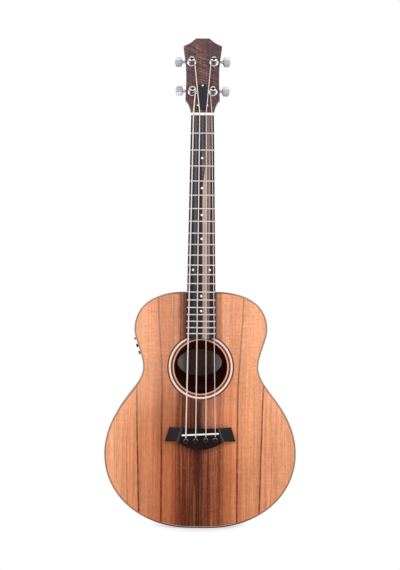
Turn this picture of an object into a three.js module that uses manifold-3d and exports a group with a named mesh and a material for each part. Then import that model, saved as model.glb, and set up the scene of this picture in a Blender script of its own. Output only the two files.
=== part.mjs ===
// An acoustic bass guitar that stands on its tail. Lengths are in millimetres, +Z runs up the neck,
// the front faces -Y, and the origin is the middle of the flat end of the tail.
import * as THREE from "three";
import { mergeVertices } from "three/addons/utils/BufferGeometryUtils.js";
import Module from "manifold-3d";

const wasm = await Module();
wasm.setup();

// Fits that all pieces share
const glueGap = 0.1; // between faces that are glued or bear on each other
const cutGap = 0.3; // round a piece that is let into, or lies on, a turned or curved neighbour
const overrun = 5; // how far a cutter reaches past what it cuts
const roundSides = 24; // sides of a larger round
const smallSides = 16; // sides of a small round

// Sound box, seen from the front
const lowerBoutWidth = 360;
const lowerBoutHeight = 139; // of the widest place above the tail
const flankWidth = 295; // between the lower bout and the waist
const flankRise = 93; // each rise is over the place before it
const waistWidth = 216.5;
const waistRise = 70.5;
const upperBoutWidth = 250;
const upperBoutRise = 69.5;
const shoulderRise = 71;
const flankLean = 35.5; // degrees by which the outline leans in at the flank
const tailFlat = 36; // straight stretches at the two ends of the outline
const shoulderFlat = 64;
const tailCurveShares = [0.57, 0.573]; // handle lengths of each curve as shares of its own reach
const lowerCurveShares = [0.412, 0.293];
const flankCurveShares = [0.48, 0.34];
const waistCurveShares = [0.3, 0.24];
const shoulderCurveShares = [0.67, 0.57];
const curveSteps = [13, 6, 6, 6, 9];

// Sound box, through its depth
const tailDepth = 104;
const shoulderDepth = 90;
const backCrown = 6;
const crownPower = 4; // how squarely the crown dies away towards the two ends
const soundboardThickness = 3;
const backThickness = 3;
const sideThickness = 2.4;
const bindingDepth = 6;
const liningWidth = 6;
const liningDepth = 14;
const neckBlockWidth = 84;
const neckBlockLength = 60;
const tailBlockWidth = 70;
const tailBlockLength = 20;
const graftWidth = 20; // strip of wood that closes the seam of the sides at the tail
const backRows = 8; // facets across the arched back

// Sound hole and rosette
const soundHoleRadius = 50;
const rosetteInnerRadius = 52.8;
const rosetteOuterRadius = 61.5;
const rosetteThickness = 1.4;
const ringSides = 60;

// Bars under the soundboard and on the back
const braceWidth = 8;
const braceHeight = 14;
const crossRise = 54; // of the place where the two long braces cross over the middle of the bridge
const crossAngle = 48; // degrees between each of them and the centre line
const crossBraceLength = 420;
const transverseBraceWidth = 10;
const transverseBraceGap = 9.5; // to the neck block
const toneBarLength = 150;
const toneBarDrop = 86; // under the middle of the bridge
const toneBarAngle = 74; // degrees from the centre line
const backBraceWidth = 10;
const backBraceDepth = 13;
const lowerBackBraceDrop = 27; // under the widest place of the lower bout
const upperBackBraceDrop = 46.5; // under the waist
const bridgePlateThickness = 2.5;
const bridgePlateReach = 20; // above and below the middle of the bridge
const bridgePlateWidth = 150;

// Scale
const scaleLength = 597;
const fretCount = 20;
const jointFret = 14; // the fret that lies over the edge of the body
const stringCount = 4;

// Neck
const neckWidthAtNut = 42.9;
const neckWidthAtEnd = 56; // at the end of the fretboard
const neckDepthAtNut = 16;
const neckDepthAtHeel = 20;
const heelReach = 62;
const heelPower = 2.3; // how fast the heel dies into the shaft
const heelCapWidth = 26;
const heelInset = 4; // of the heel's end from the face of the back
const tenonWidth = 30;
const tenonLength = 20;
const tenonDepth = 56;
const sectionPoints = 14; // round one section of the neck

// Fretboard, frets and nut
const fretboardThickness = 7;
const fretboardRadius = 305;
const fretboardOverhang = 9.5; // past the last fret
const fretWidth = 2.2;
const fretCrownWidth = 1;
const fretHeight = 1.1;
const fretRoot = 0.6; // how deep a fret sits in its slot
const fretEndInset = 0.4;
const archPoints = 6;
const nutThickness = 4.8;
const nutClearance = 0.5; // of the strings over the line of the frets, at the nut
const nutRise = 0.4; // of the nut's top over the middle of the strings
const nutBevel = 1.2;
const actionHeight = 2.6; // clearance of the strings over the fret in the middle of the scale

// Headstock
const headTilt = 15; // degrees
const headLength = 153;
const headWidth = 73.4;
const headThickness = 14;
const overlayThickness = 2;
const headNotch = 1.6; // of the hollow in the top edge
// The right half from the nut to the tip: shares of half the width and of the length
const headOutlineShares = [
  [0.583, 0],
  [0.61, 0.042],
  [0.668, 0.094],
  [0.768, 0.147],
  [0.883, 0.18],
  [0.823, 0.41],
  [1, 0.896],
  [0.8, 0.909],
  [0.62, 0.93],
  [0.48, 0.96],
  [0.355, 1],
];

// Truss rod and its cover
const rodWidth = 6;
const rodDepth = 8;
const rodTop = 2.5; // below the face that carries the fretboard
const rodHeadReach = 15; // of the rod and its pocket past the nut
const rodNutLength = 9;
const rodFoot = 30; // of the rod's lower end above the top of the body
const coverStart = 6.7; // from the nut to the cover
const coverLength = 53.3;
const coverWidth = 22.5;
const coverTopWidth = 15.9;
const coverThickness = 1.6;
const coverSkirtShare = 0.28; // share of the length at the full width

// Bridge, saddle and pins
const compensationLength = 0.6; // by which the strings are longer than the scale
const saddleRise = 2.5; // of the saddle over the middle of the bridge
const bridgeHalfRise = 15.2; // of the top corners over the middle
const bridgeTopWidth = 116;
const bridgeFootWidth = 133;
const bridgeWingDrop = 11.2; // of the lower wing corners under the middle
const bridgeBellyDrop = 26.9;
const bridgeTopHollow = 2.8;
const bridgeThickness = 9.5;
const bridgeWingThickness = 4;
const bridgeShoulderThickness = 5.4;
const bridgeTopBlockWidth = 71;
const bridgeFootBlockWidth = 88.5;
const bridgeFacetWidth = 9;
const bellyShares = [
  [0.69, 0.49],
  [0.38, 0.82],
  [0, 1],
];
const saddleSlant = 3.7; // degrees
const saddleLength = 70.5;
const saddleThickness = 3.1;
const saddleSlotDepth = 5.5;
const pinDrop = 12.1; // from the saddle to the line of the pins
const pinHeadRadius = 4.5;
const pinHeadHeight = 3.4;
const pinShankRadius = 2.9;
const pinTipRadius = 2.3;
const pinLength = 24;

// Strings, bass to treble
const stringDiameters = [2.5, 2, 1.6, 1.2];
const stringsWidthAtNut = 34.4;
const stringsWidthAtSaddle = 54;
const ballRadius = 2.6;
const ballHeight = 4.4;
const stringSides = 8;
const windingTurns = 2.5;
const windingSteps = 24; // per turn
const windingSides = 6;
const windingGap = 0.5; // between neighbouring turns
const leastWindingGap = 0.4;

// Tuning machines
const postPlaces = [
  { side: -1, out: 19.3, up: 42 },
  { side: -1, out: 21.1, up: 102.4 },
  { side: 1, out: 21.1, up: 102.4 },
  { side: 1, out: 19.3, up: 42 },
];
const postRadius = 5;
const postWaistRadius = 4.2;
const postCollarHeight = 2.4; // over the bushing
const postWaistHeight = 10.2; // tall enough for the turns of the thickest string
const postCapHeight = 2.8;
const postChamfer = 0.5;
const postBoreRadius = 1.9;
const postBoreDepth = 7;
const postSlotWidth = 2;
const postSlotDepth = 3.2;
const bushingFlangeRadius = 8;
const bushingFlangeHeight = 1.6;
const bushingRadius = 6.6;
const bushingDepth = 9;
const bushingWall = 1.2;
const bushingChamferWidth = 1;
const bushingChamferHeight = 0.6;
const wormOffset = 10.8; // between the post and the shaft of its button
const wormRadius = 3.1;
const wormRootRadius = 2.5;
const wormReach = 5; // to each side of the post
const wormRidges = 4;
const gearRadius = 7.3;
const gearRootRadius = 6.4;
const gearTeeth = 15;
const gearThickness = 5;
const housingWidth = 18;
const housingRise = 17; // from the post to the end beyond the shaft
const housingDrop = 10.5; // from the post to the other end
const housingDepth = 12;
const housingWall = 1.4;
const housingBevel = 1;
const shaftRadius = 2;
const shaftDepth = 6.2; // behind the headstock
const collarRadius = 3;
const collarLength = 4;
const collarOut = 15.6; // from the post to the middle of the collar
const buttonOut = 24.7; // from the post to the middle of the button
const buttonWidth = 14.4;
const buttonEndWidth = 9.2;
const buttonLength = 19;
const buttonShoulderShare = 0.22; // of half the length, where the button is widest
const buttonThickness = 8;
const buttonBevel = 1.2;

// Controls on the bass side, and the jack
const panelDrop = 31; // of its middle under the widest place of the upper bout
const panelDepth = 42; // of its middle behind the front
const panelLength = 62;
const panelWidth = 26;
const panelRise = 1.6; // of its flat face over the side at its middle
const preampLength = 54;
const preampWidth = 20;
const preampReach = 26;
const controlDistance = 14;
const knobRadius = 3.4;
const knobHeight = 3;
const knobStemRadius = 1.5;
const knobStemHeight = 1.4;
const knobRootDepth = 6;
const switchRadius = 2.2;
const switchTravelDepth = 1;
const jackDrop = 61; // under the widest place of the lower bout
const jackDepth = 52;
const jackPlateRadius = 15;
const jackRise = 2.4; // of its flat face over the side at its middle
const jackBevel = 1.5;
const jackBodyRadius = 9;
const jackBodyLength = 26;
const jackBoreRadius = 3.3;
const jackBoreDepth = 22;

// Places that follow from the sizes
const degrees = Math.PI / 180;
const flankHeight = lowerBoutHeight + flankRise;
const waistHeight = flankHeight + waistRise;
const upperBoutHeight = waistHeight + upperBoutRise;
const bodyLength = upperBoutHeight + shoulderRise;
const soundHoleHeight = waistHeight;
const neckBlockBottom = bodyLength - sideThickness - glueGap - neckBlockLength;
const transverseBraceHeight = neckBlockBottom - transverseBraceGap - transverseBraceWidth / 2;
const fretReach = (n) => scaleLength * (1 - 2 ** (-n / 12));
const nutHeight = bodyLength + fretReach(jointFret);
const fretboardEnd = nutHeight - fretReach(fretCount) - fretboardOverhang;
const headStart = nutHeight + nutThickness;
const fretTop = fretboardThickness + fretHeight;
const stringRiseAtNut = fretTop + nutClearance; // undersides of the strings
const stringRiseAtSaddle = fretTop + 2 * actionHeight - nutClearance;
const saddleHeight = nutHeight - scaleLength - compensationLength;
const bridgeMiddleHeight = saddleHeight - saddleRise;
const crossHeight = bridgeMiddleHeight + crossRise;
const faceOfHead = overlayThickness;
const windingFloor = faceOfHead + bushingFlangeHeight + glueGap + postCollarHeight;

// Colours as the photograph shows them
const finishes = {
  koa: { color: 0xe19669, roughness: 0.3, metalness: 0 },
  darkWood: { color: 0x64464a, roughness: 0.35, metalness: 0 },
  neckWood: { color: 0x7a4a34, roughness: 0.4, metalness: 0 },
  spruce: { color: 0xd8bd8a, roughness: 0.7, metalness: 0 },
  ebony: { color: 0x241d20, roughness: 0.45, metalness: 0 },
  binding: { color: 0x1d1a1b, roughness: 0.3, metalness: 0 },
  shell: { color: 0xf2ece2, roughness: 0.25, metalness: 0 },
  bone: { color: 0xf4efe4, roughness: 0.4, metalness: 0 },
  chrome: { color: 0xd9d9de, roughness: 0.15, metalness: 1 },
  steel: { color: 0x9a9a9e, roughness: 0.35, metalness: 1 },
  bronze: { color: 0xd9c3b4, roughness: 0.3, metalness: 1 },
  blackPlastic: { color: 0x17171c, roughness: 0.3, metalness: 0 },
};

// A closed solid from corner points and triangles, turned so that its faces point outwards
function solidFromFaces(points, faces) {
  let volume = 0;
  for (const [a, b, c] of faces) {
    volume += points[a].dot(new THREE.Vector3().crossVectors(points[b], points[c]));
  }
  const turned = volume < 0 ? faces.map(([a, b, c]) => [a, c, b]) : faces;
  const geometry = new THREE.BufferGeometry();
  geometry.setAttribute("position", new THREE.Float32BufferAttribute(points.flatMap((p) => p.toArray()), 3));
  geometry.setIndex(turned.flat());
  return solidFrom(geometry);
}

// A three.js geometry as a solid that can be joined and cut
function solidFrom(geometry) {
  geometry.deleteAttribute("normal");
  geometry.deleteAttribute("uv");
  const merged = mergeVertices(geometry, 1e-4);
  return new wasm.Manifold(
    new wasm.Mesh({
      numProp: 3,
      vertProperties: merged.attributes.position.array,
      triVerts: new Uint32Array(merged.index.array),
    }),
  );
}

function geometryFrom(solid) {
  const mesh = solid.getMesh();
  const geometry = new THREE.BufferGeometry();
  geometry.setAttribute("position", new THREE.BufferAttribute(mesh.vertProperties, 3));
  geometry.setIndex(new THREE.BufferAttribute(mesh.triVerts, 1));
  geometry.computeVertexNormals();
  return geometry;
}

// A flat piece that lies along the front: an outline in x and z between two heights in front of y = 0
function plate(points, low, high, holes = []) {
  const shape = new THREE.Shape(points);
  shape.holes = holes.map((hole) => new THREE.Path(hole));
  const geometry = new THREE.ExtrudeGeometry(shape, { depth: high - low, bevelEnabled: false });
  return solidFrom(geometry.rotateX(Math.PI / 2).translate(0, -low, 0));
}

// A prism that runs along x: an outline in height in front of y = 0, and z
function crossPrism(points, left, right) {
  const shape = new THREE.Shape(points.map(([height, z]) => new THREE.Vector2(-height, z)));
  const geometry = new THREE.ExtrudeGeometry(shape, { depth: right - left, bevelEnabled: false });
  const turn = new THREE.Matrix4().makeBasis(
    new THREE.Vector3(0, 1, 0),
    new THREE.Vector3(0, 0, 1),
    new THREE.Vector3(1, 0, 0),
  );
  return solidFrom(geometry.applyMatrix4(turn).translate(left, 0, 0));
}

function block(left, right, low, high, bottom, top) {
  const geometry = new THREE.BoxGeometry(right - left, high - low, top - bottom);
  return solidFrom(geometry.translate((left + right) / 2, -(low + high) / 2, (bottom + top) / 2));
}

// A round that points forwards, from one height in front of y = 0 to another
function peg(radius, low, high, x, z, sides = smallSides, highRadius = radius) {
  const geometry = new THREE.CylinderGeometry(radius, highRadius, high - low, sides);
  return solidFrom(geometry.translate(x, -(low + high) / 2, z));
}

// A turned piece round the y axis: pairs of radius and height in front of y = 0
function turned(profile, sides = smallSides) {
  const points = profile.map(([radius, height]) => new THREE.Vector2(radius, -height));
  points.reverse();
  return solidFrom(new THREE.LatheGeometry(points, sides));
}

// A bar of the given width under the front, turned by an angle from the centre line
function bar(length, width, low, high, angle, x, z) {
  const geometry = new THREE.BoxGeometry(width, high - low, length);
  return solidFrom(geometry.rotateY(angle * degrees).translate(x, -(low + high) / 2, z));
}

// A skin over matching rings of points, closed at both ends by the flat outlines of its end rings
function loft(rings, flatten) {
  const count = rings[0].length;
  const faces = [];
  for (let r = 0; r + 1 < rings.length; r++) {
    for (let i = 0; i < count; i++) {
      const a = r * count + i;
      const b = r * count + ((i + 1) % count);
      faces.push([a, b, b + count], [a, b + count, a + count]);
    }
  }
  const last = (rings.length - 1) * count;
  for (const [a, b, c] of THREE.ShapeUtils.triangulateShape(rings[0].map(flatten), [])) {
    faces.push([c, b, a], [last + a, last + b, last + c]);
  }
  return solidFromFaces(rings.flat(), windAlike(faces, count, rings, flatten));
}

// The end caps of a loft follow the turn of its rings
function windAlike(faces, count, rings, flatten) {
  const clockwise = THREE.ShapeUtils.isClockWise(rings[0].map(flatten));
  const sides = 2 * count * (rings.length - 1);
  return faces.map((face, i) => (i >= sides && clockwise ? [face[0], face[2], face[1]] : face));
}

// A round bar through a list of points, with flat ends square to it
function tube(points, radius, sides, reference) {
  const rings = points.map((point, i) => {
    const before = points[Math.max(i - 1, 0)];
    const after = points[Math.min(i + 1, points.length - 1)];
    const along = after.clone().sub(before).normalize();
    const first = new THREE.Vector3().crossVectors(reference(i), along).normalize();
    const second = new THREE.Vector3().crossVectors(along, first);
    return Array.from({ length: sides }, (_, k) => {
      const angle = (2 * Math.PI * (k + 0.5)) / sides;
      return point
        .clone()
        .addScaledVector(first, radius * Math.cos(angle))
        .addScaledVector(second, radius * Math.sin(angle));
    });
  });
  const faces = [];
  for (let r = 0; r + 1 < rings.length; r++) {
    for (let k = 0; k < sides; k++) {
      const a = r * sides + k;
      const b = r * sides + ((k + 1) % sides);
      faces.push([a, b, b + sides], [a, b + sides, a + sides]);
    }
  }
  const last = (rings.length - 1) * sides;
  for (let k = 1; k + 1 < sides; k++) {
    faces.push([0, k + 1, k], [last, last + k, last + k + 1]);
  }
  return solidFromFaces(rings.flat(), faces);
}

// The right half of the body's outline from the tail to the shoulder, as points with their inward normals
function halfOutline() {
  const tail = new THREE.Vector2(tailFlat / 2, 0);
  const lower = new THREE.Vector2(lowerBoutWidth / 2, lowerBoutHeight);
  const flank = new THREE.Vector2(flankWidth / 2, flankHeight);
  const waist = new THREE.Vector2(waistWidth / 2, waistHeight);
  const upper = new THREE.Vector2(upperBoutWidth / 2, upperBoutHeight);
  const shoulder = new THREE.Vector2(shoulderFlat / 2, bodyLength);
  const outward = new THREE.Vector2(1, 0);
  const upward = new THREE.Vector2(0, 1);
  const inward = new THREE.Vector2(-1, 0);
  const leaning = new THREE.Vector2(-Math.sin(flankLean * degrees), Math.cos(flankLean * degrees));
  const spans = [
    [tail, outward, lower.x - tail.x, lower, upward, lower.y - tail.y, tailCurveShares],
    [lower, upward, flank.y - lower.y, flank, leaning, flank.y - lower.y, lowerCurveShares],
    [flank, leaning, waist.y - flank.y, waist, upward, waist.y - flank.y, flankCurveShares],
    [waist, upward, upper.y - waist.y, upper, upward, upper.y - waist.y, waistCurveShares],
    [upper, upward, shoulder.y - upper.y, shoulder, inward, upper.x - shoulder.x, shoulderCurveShares],
  ];
  const samples = [];
  spans.forEach(([start, leave, leaveReach, end, arrive, arriveReach, shares], index) => {
    const curve = new THREE.CubicBezierCurve(
      start,
      start.clone().addScaledVector(leave, leaveReach * shares[0]),
      end.clone().addScaledVector(arrive, -arriveReach * shares[1]),
      end,
    );
    for (let step = index === 0 ? 0 : 1; step <= curveSteps[index]; step++) {
      const t = step / curveSteps[index];
      const along = curve.getTangent(t);
      samples.push({ point: curve.getPoint(t), normal: new THREE.Vector2(-along.y, along.x) });
    }
  });
  return samples;
}

const outlineSamples = halfOutline();

function halfRim(inset) {
  return outlineSamples.map(({ point, normal }) => point.clone().addScaledVector(normal, inset));
}

function rim(inset) {
  const right = halfRim(inset);
  const left = right.map((p) => new THREE.Vector2(-p.x, p.y)).reverse();
  return [...right, ...left];
}

function halfWidthAt(height, inset) {
  const points = halfRim(inset);
  const next = points.findIndex((p) => p.y >= height);
  const above = points[Math.max(next, 1)];
  const below = points[Math.max(next, 1) - 1];
  return below.x + ((above.x - below.x) * (height - below.y)) / (above.y - below.y);
}

// How far the edge of the back lies behind the front, and how far its arch stands out behind that edge
function depthAt(height) {
  return tailDepth + ((shoulderDepth - tailDepth) * height) / bodyLength;
}

function crownAt(acrossShare, height) {
  const alongShare = Math.abs((2 * height) / bodyLength - 1);
  return backCrown * (1 - acrossShare ** 2) * Math.max(0, 1 - alongShare ** crownPower);
}

// Everything behind the plane of the back's edge, or behind a plane that lies this far in front of it
function behindBack(forward) {
  const bottom = -overrun;
  const top = bodyLength + overrun;
  const far = -tailDepth - backCrown - liningDepth - overrun;
  const half = lowerBoutWidth / 2 + overrun;
  const points = [
    [forward - depthAt(bottom), bottom],
    [forward - depthAt(top), top],
    [far, top],
    [far, bottom],
  ];
  return crossPrism(points, -half, half);
}

const cavityInset = sideThickness + glueGap + liningWidth + cutGap;
const deepest = -tailDepth - backCrown;

// The hollow inside the linings, from the underside of the soundboard to the face of the back
function hollow() {
  return plate(rim(cavityInset), deepest, -soundboardThickness - glueGap).subtract(
    behindBack(backThickness + glueGap),
  );
}

const root = new THREE.Group();
const instrument = new THREE.Group(); // its y = 0 is the front face of the soundboard
instrument.position.y = -tailDepth / 2;
const head = new THREE.Group(); // its y = 0 is the face of the headstock's wood, its +Z runs to the tip
head.position.z = headStart;
head.rotation.x = -headTilt * degrees;
instrument.add(head);
root.add(instrument);
head.updateMatrix();

function add(group, name, solid, finish) {
  const mesh = new THREE.Mesh(geometryFrom(solid), new THREE.MeshStandardMaterial(finishes[finish]));
  mesh.name = name;
  group.add(mesh);
  return mesh;
}

// Where each string lies: across, and its radius
const strings = stringDiameters.map((diameter, i) => {
  const share = i / (stringCount - 1) - 0.5;
  return {
    radius: diameter / 2,
    atNut: stringsWidthAtNut * share,
    atSaddle: stringsWidthAtSaddle * share,
  };
});
const slantRise = (x) => x * Math.tan(saddleSlant * degrees);
const pinHeight = (x) => saddleHeight - pinDrop + slantRise(x);
const stringWellReach = (radius) => pinShankRadius + 2 * cutGap + 2 * radius;

// The hole for one pin with the channel beside it for its string, through the bridge and what is under it
function pinHole(string, low, high) {
  const x = string.atSaddle;
  const z = pinHeight(x);
  const half = string.radius + cutGap;
  return peg(pinShankRadius + cutGap, low, high, x, z).add(
    block(x - half, x + half, low, high, z, z + stringWellReach(string.radius)),
  );
}

function ring(outer, inner, low, high) {
  return peg(outer, low, high, 0, soundHoleHeight, ringSides).subtract(
    peg(inner, low - overrun, high + overrun, 0, soundHoleHeight, ringSides),
  );
}

// Soundboard with its hole, the channel for the rosette and the holes under the bridge
function soundboard() {
  let board = plate(rim(sideThickness + glueGap), -soundboardThickness, 0);
  board = board.subtract(
    peg(soundHoleRadius, -soundboardThickness - overrun, overrun, 0, soundHoleHeight, ringSides),
  );
  board = board.subtract(
    ring(rosetteOuterRadius + glueGap, rosetteInnerRadius - glueGap, -rosetteThickness - glueGap, overrun),
  );
  for (const string of strings) {
    board = board.subtract(pinHole(string, -soundboardThickness - overrun, overrun));
  }
  return board;
}

// The arched back: rows of points from the tail to the shoulder, behind and in front
function backPlate() {
  const inset = sideThickness + glueGap;
  const rows = halfRim(inset);
  const skins = [0, backThickness].map((forward) =>
    rows.map((edge) =>
      Array.from({ length: backRows + 1 }, (_, i) => {
        const across = (2 * i) / backRows - 1;
        const depth = depthAt(edge.y) + crownAt(across, edge.y) - forward;
        return new THREE.Vector3(edge.x * across, depth, edge.y);
      }),
    ),
  );
  const width = backRows + 1;
  const skinSize = rows.length * width;
  const faces = [];
  for (let r = 0; r + 1 < rows.length; r++) {
    for (let i = 0; i < backRows; i++) {
      const a = r * width + i;
      faces.push([a, a + width, a + width + 1], [a, a + width + 1, a + 1]);
      const b = a + skinSize;
      faces.push([b, b + width + 1, b + width], [b, b + 1, b + width + 1]);
    }
  }
  const border = [];
  for (let i = 0; i < backRows; i++) border.push(i);
  for (let r = 0; r + 1 < rows.length; r++) border.push(r * width + backRows);
  for (let i = backRows; i > 0; i--) border.push((rows.length - 1) * width + i);
  for (let r = rows.length - 1; r > 0; r--) border.push(r * width);
  border.forEach((a, i) => {
    const b = border[(i + 1) % border.length];
    faces.push([a, b, b + skinSize], [a, b + skinSize, a + skinSize]);
  });
  return solidFromFaces(skins.flat(2), faces);
}

const sideTop = -bindingDepth - glueGap;
const tenonTop = sideTop - cutGap;
const tenonFoot = tenonTop - tenonDepth;

function sideBand() {
  return plate(rim(0), deepest, sideTop, [rim(sideThickness)]).subtract(
    behindBack(bindingDepth + glueGap),
  );
}

// One of the two sides, left open for the graft at the tail and for the neck's tenon
function side(direction) {
  const half = lowerBoutWidth / 2 + overrun;
  const far = deepest - overrun;
  const seam = glueGap / 2;
  const keep = block(seam, half, far, overrun, -overrun, bodyLength + overrun);
  const graft = block(0, graftWidth / 2 + glueGap, far, overrun, -overrun, sideThickness + overrun);
  const tenonHalf = tenonWidth / 2 + cutGap;
  const tenonSlot = block(0, tenonHalf, tenonFoot - cutGap, overrun, waistHeight, bodyLength + overrun);
  const right = sideBand().intersect(keep).subtract(graft).subtract(tenonSlot);
  return direction > 0 ? right : right.mirror([1, 0, 0]);
}

function endGraft() {
  const half = graftWidth / 2;
  return block(-half, half, deepest, sideTop, 0, sideThickness).subtract(
    behindBack(bindingDepth + glueGap),
  );
}

const neckBlockHalf = neckBlockWidth / 2;

function neckBlock() {
  const half = neckBlockHalf;
  const tenonHalf = tenonWidth / 2 + cutGap;
  const inside = plate(rim(sideThickness + glueGap), deepest, -soundboardThickness - glueGap);
  return block(-half, half, deepest, overrun, neckBlockBottom, bodyLength)
    .intersect(inside)
    .subtract(behindBack(backThickness + glueGap))
    .subtract(
      block(
        -tenonHalf,
        tenonHalf,
        tenonFoot - cutGap,
        overrun,
        bodyLength - tenonLength - cutGap,
        bodyLength + overrun,
      ),
    );
}

// The lining's ring, or the room that it needs in its neighbours
function liningRing(room) {
  return plate(rim(sideThickness + glueGap - room), deepest, overrun, [
    rim(sideThickness + glueGap + liningWidth + room),
  ]);
}

const frontLiningTop = -soundboardThickness - glueGap;

function frontLiningZone(room) {
  const half = lowerBoutWidth / 2 + overrun;
  return block(
    -half,
    half,
    frontLiningTop - liningDepth - room,
    frontLiningTop + room,
    -overrun,
    bodyLength + overrun,
  );
}

function backLiningZone(room) {
  return behindBack(backThickness + glueGap + liningDepth + room).subtract(
    behindBack(backThickness + glueGap - room),
  );
}

// A strip along both sides that stops at the neck block
function lining(zone) {
  const half = neckBlockHalf + cutGap;
  const gate = block(-half, half, deepest, overrun, neckBlockBottom - cutGap, bodyLength + overrun);
  return liningRing(0).intersect(zone(0)).subtract(gate);
}

// The tail block stands inside the linings, which pass round it
function tailBlock() {
  const half = tailBlockWidth / 2;
  const bottom = sideThickness + glueGap;
  return block(-half, half, deepest, frontLiningTop, bottom, bottom + tailBlockLength)
    .subtract(behindBack(backThickness + glueGap))
    .subtract(liningRing(cutGap).intersect(frontLiningZone(cutGap)))
    .subtract(liningRing(cutGap).intersect(backLiningZone(cutGap)))
    .intersect(plate(rim(sideThickness + glueGap), deepest, overrun));
}

function frontBinding() {
  return plate(rim(0), -bindingDepth, 0, [rim(sideThickness)]);
}

function backBinding() {
  return plate(rim(0), deepest, overrun, [rim(sideThickness)])
    .intersect(behindBack(bindingDepth))
    .subtract(behindBack(0));
}

const braceTop = -soundboardThickness - glueGap;

function crossBrace(direction, half) {
  const middle = braceTop - braceHeight / 2;
  const grown = braceWidth + 2 * cutGap;
  const reach = lowerBoutWidth / 2;
  const limit = transverseBraceHeight - transverseBraceWidth / 2 - cutGap;
  const other = half === "outer" ? [middle - cutGap, braceTop + overrun] : [braceTop - braceHeight - overrun, middle + cutGap];
  return bar(crossBraceLength, braceWidth, braceTop - braceHeight, braceTop, direction * crossAngle, 0, crossHeight)
    .subtract(bar(grown * 2, grown, other[0], other[1], -direction * crossAngle, 0, crossHeight))
    .intersect(hollow())
    .intersect(block(-reach, reach, deepest, overrun, 0, limit));
}

function transverseBrace() {
  return bar(
    upperBoutWidth,
    transverseBraceWidth,
    braceTop - braceHeight,
    braceTop,
    90,
    0,
    transverseBraceHeight,
  ).intersect(hollow());
}

function toneBar() {
  return bar(toneBarLength, braceWidth, braceTop - braceHeight, braceTop, toneBarAngle, 0, bridgeMiddleHeight - toneBarDrop);
}

// The hardwood plate under the bridge, between the lower arms of the crossed braces
function bridgePlate() {
  const top = bridgeMiddleHeight + bridgePlateReach;
  const bottom = bridgeMiddleHeight - bridgePlateReach;
  const armHalf = braceWidth / 2 / Math.cos(crossAngle * degrees) + cutGap;
  const reach = (z) => Math.min((crossHeight - z) * Math.tan(crossAngle * degrees) - armHalf, bridgePlateWidth / 2);
  const points = [
    [reach(bottom), bottom],
    [reach(top), top],
    [-reach(top), top],
    [-reach(bottom), bottom],
  ];
  let solid = plate(points.map(([x, z]) => new THREE.Vector2(x, z)), braceTop - bridgePlateThickness, braceTop);
  for (const string of strings) {
    solid = solid.subtract(pinHole(string, braceTop - bridgePlateThickness - overrun, overrun));
  }
  return solid;
}

// A bar across the back, following its arch
function backBrace(height) {
  const low = height - backBraceWidth / 2;
  const high = height + backBraceWidth / 2;
  const half = halfWidthAt(height, sideThickness);
  const rings = Array.from({ length: backRows + 1 }, (_, i) => {
    const across = (2 * i) / backRows - 1;
    const seat = depthAt(high) + crownAt(across, height) - backThickness - cutGap;
    return [
      new THREE.Vector3(half * across, seat, low),
      new THREE.Vector3(half * across, seat, high),
      new THREE.Vector3(half * across, seat - backBraceDepth, high),
      new THREE.Vector3(half * across, seat - backBraceDepth, low),
    ];
  });
  return loft(rings, (p) => new THREE.Vector2(p.y, p.z)).intersect(plate(rim(cavityInset), deepest - overrun, overrun));
}

// Width of the neck and the fretboard at a height up the instrument
function neckWidthAt(height) {
  const share = (nutHeight - height) / (nutHeight - fretboardEnd);
  return neckWidthAtNut + (neckWidthAtEnd - neckWidthAtNut) * Math.max(share, 0);
}

// One section of the neck: flat in front, oval behind, squaring up into the heel
function neckSection(height, depth, heelShare) {
  const half = neckWidthAt(height) / 2;
  const cap = heelCapWidth / 2;
  return Array.from({ length: sectionPoints + 1 }, (_, i) => {
    const share = i / sectionPoints;
    const angle = Math.PI * share;
    const oval = [half * Math.cos(angle), depth * Math.sin(angle) ** 0.85];
    const nearEdge = Math.min(share, 1 - share) * 3;
    const flare = Math.min(nearEdge, 1);
    const sign = share < 0.5 ? 1 : -1;
    const across = nearEdge < 1 ? sign * (half + (cap - half) * flare ** 0.7) : cap * (1 - 2 * (share - 1 / 3) * 3);
    const square = [across, depth * flare];
    const x = oval[0] + (square[0] - oval[0]) * heelShare;
    const y = oval[1] + (square[1] - oval[1]) * heelShare;
    return new THREE.Vector3(x, y, height);
  });
}

// The neck's shaft and heel, from the body to just past the nut
function neckShaft() {
  const start = bodyLength + glueGap;
  const heelDepth = shoulderDepth - heelInset;
  const reaches = [0, 0.05, 0.12, 0.2, 0.3, 0.42, 0.56, 0.74, 1];
  const rings = reaches.map((share) => {
    const shaft = neckDepthAtHeel;
    const depth = shaft + (heelDepth - shaft) * (1 - share) ** heelPower;
    return neckSection(start + share * heelReach, depth, (1 - share) ** 1.5);
  });
  const shaftSteps = 5;
  for (let i = 1; i <= shaftSteps; i++) {
    const share = i / shaftSteps;
    const height = start + heelReach + (headStart - start - heelReach) * share;
    rings.push(neckSection(height, neckDepthAtHeel + (neckDepthAtNut - neckDepthAtHeel) * share, 0));
  }
  rings.push(neckSection(headStart + headThickness, neckDepthAtNut, 0));
  return loft(rings, (p) => new THREE.Vector2(p.x, p.y));
}

function headOutline(inset = 0) {
  const half = headWidth / 2;
  const right = headOutlineShares.map(
    ([x, z]) => new THREE.Vector2(half * x - inset, inset + (headLength - 2 * inset) * z),
  );
  const left = right.map((p) => new THREE.Vector2(-p.x, p.y)).reverse();
  const notch = new THREE.Vector2(0, headLength - inset - headNotch);
  return [...right, notch, ...left];
}

// A geometry-free move from the headstock's frame into the instrument's
function fromHead(solid) {
  return solid.transform(head.matrix.elements);
}

function bushingHole(place, low, high) {
  return peg(bushingRadius + glueGap, low, high, place.side * place.out, place.up, roundSides);
}

const rodHeadEnd = headStart + rodHeadReach;

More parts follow.
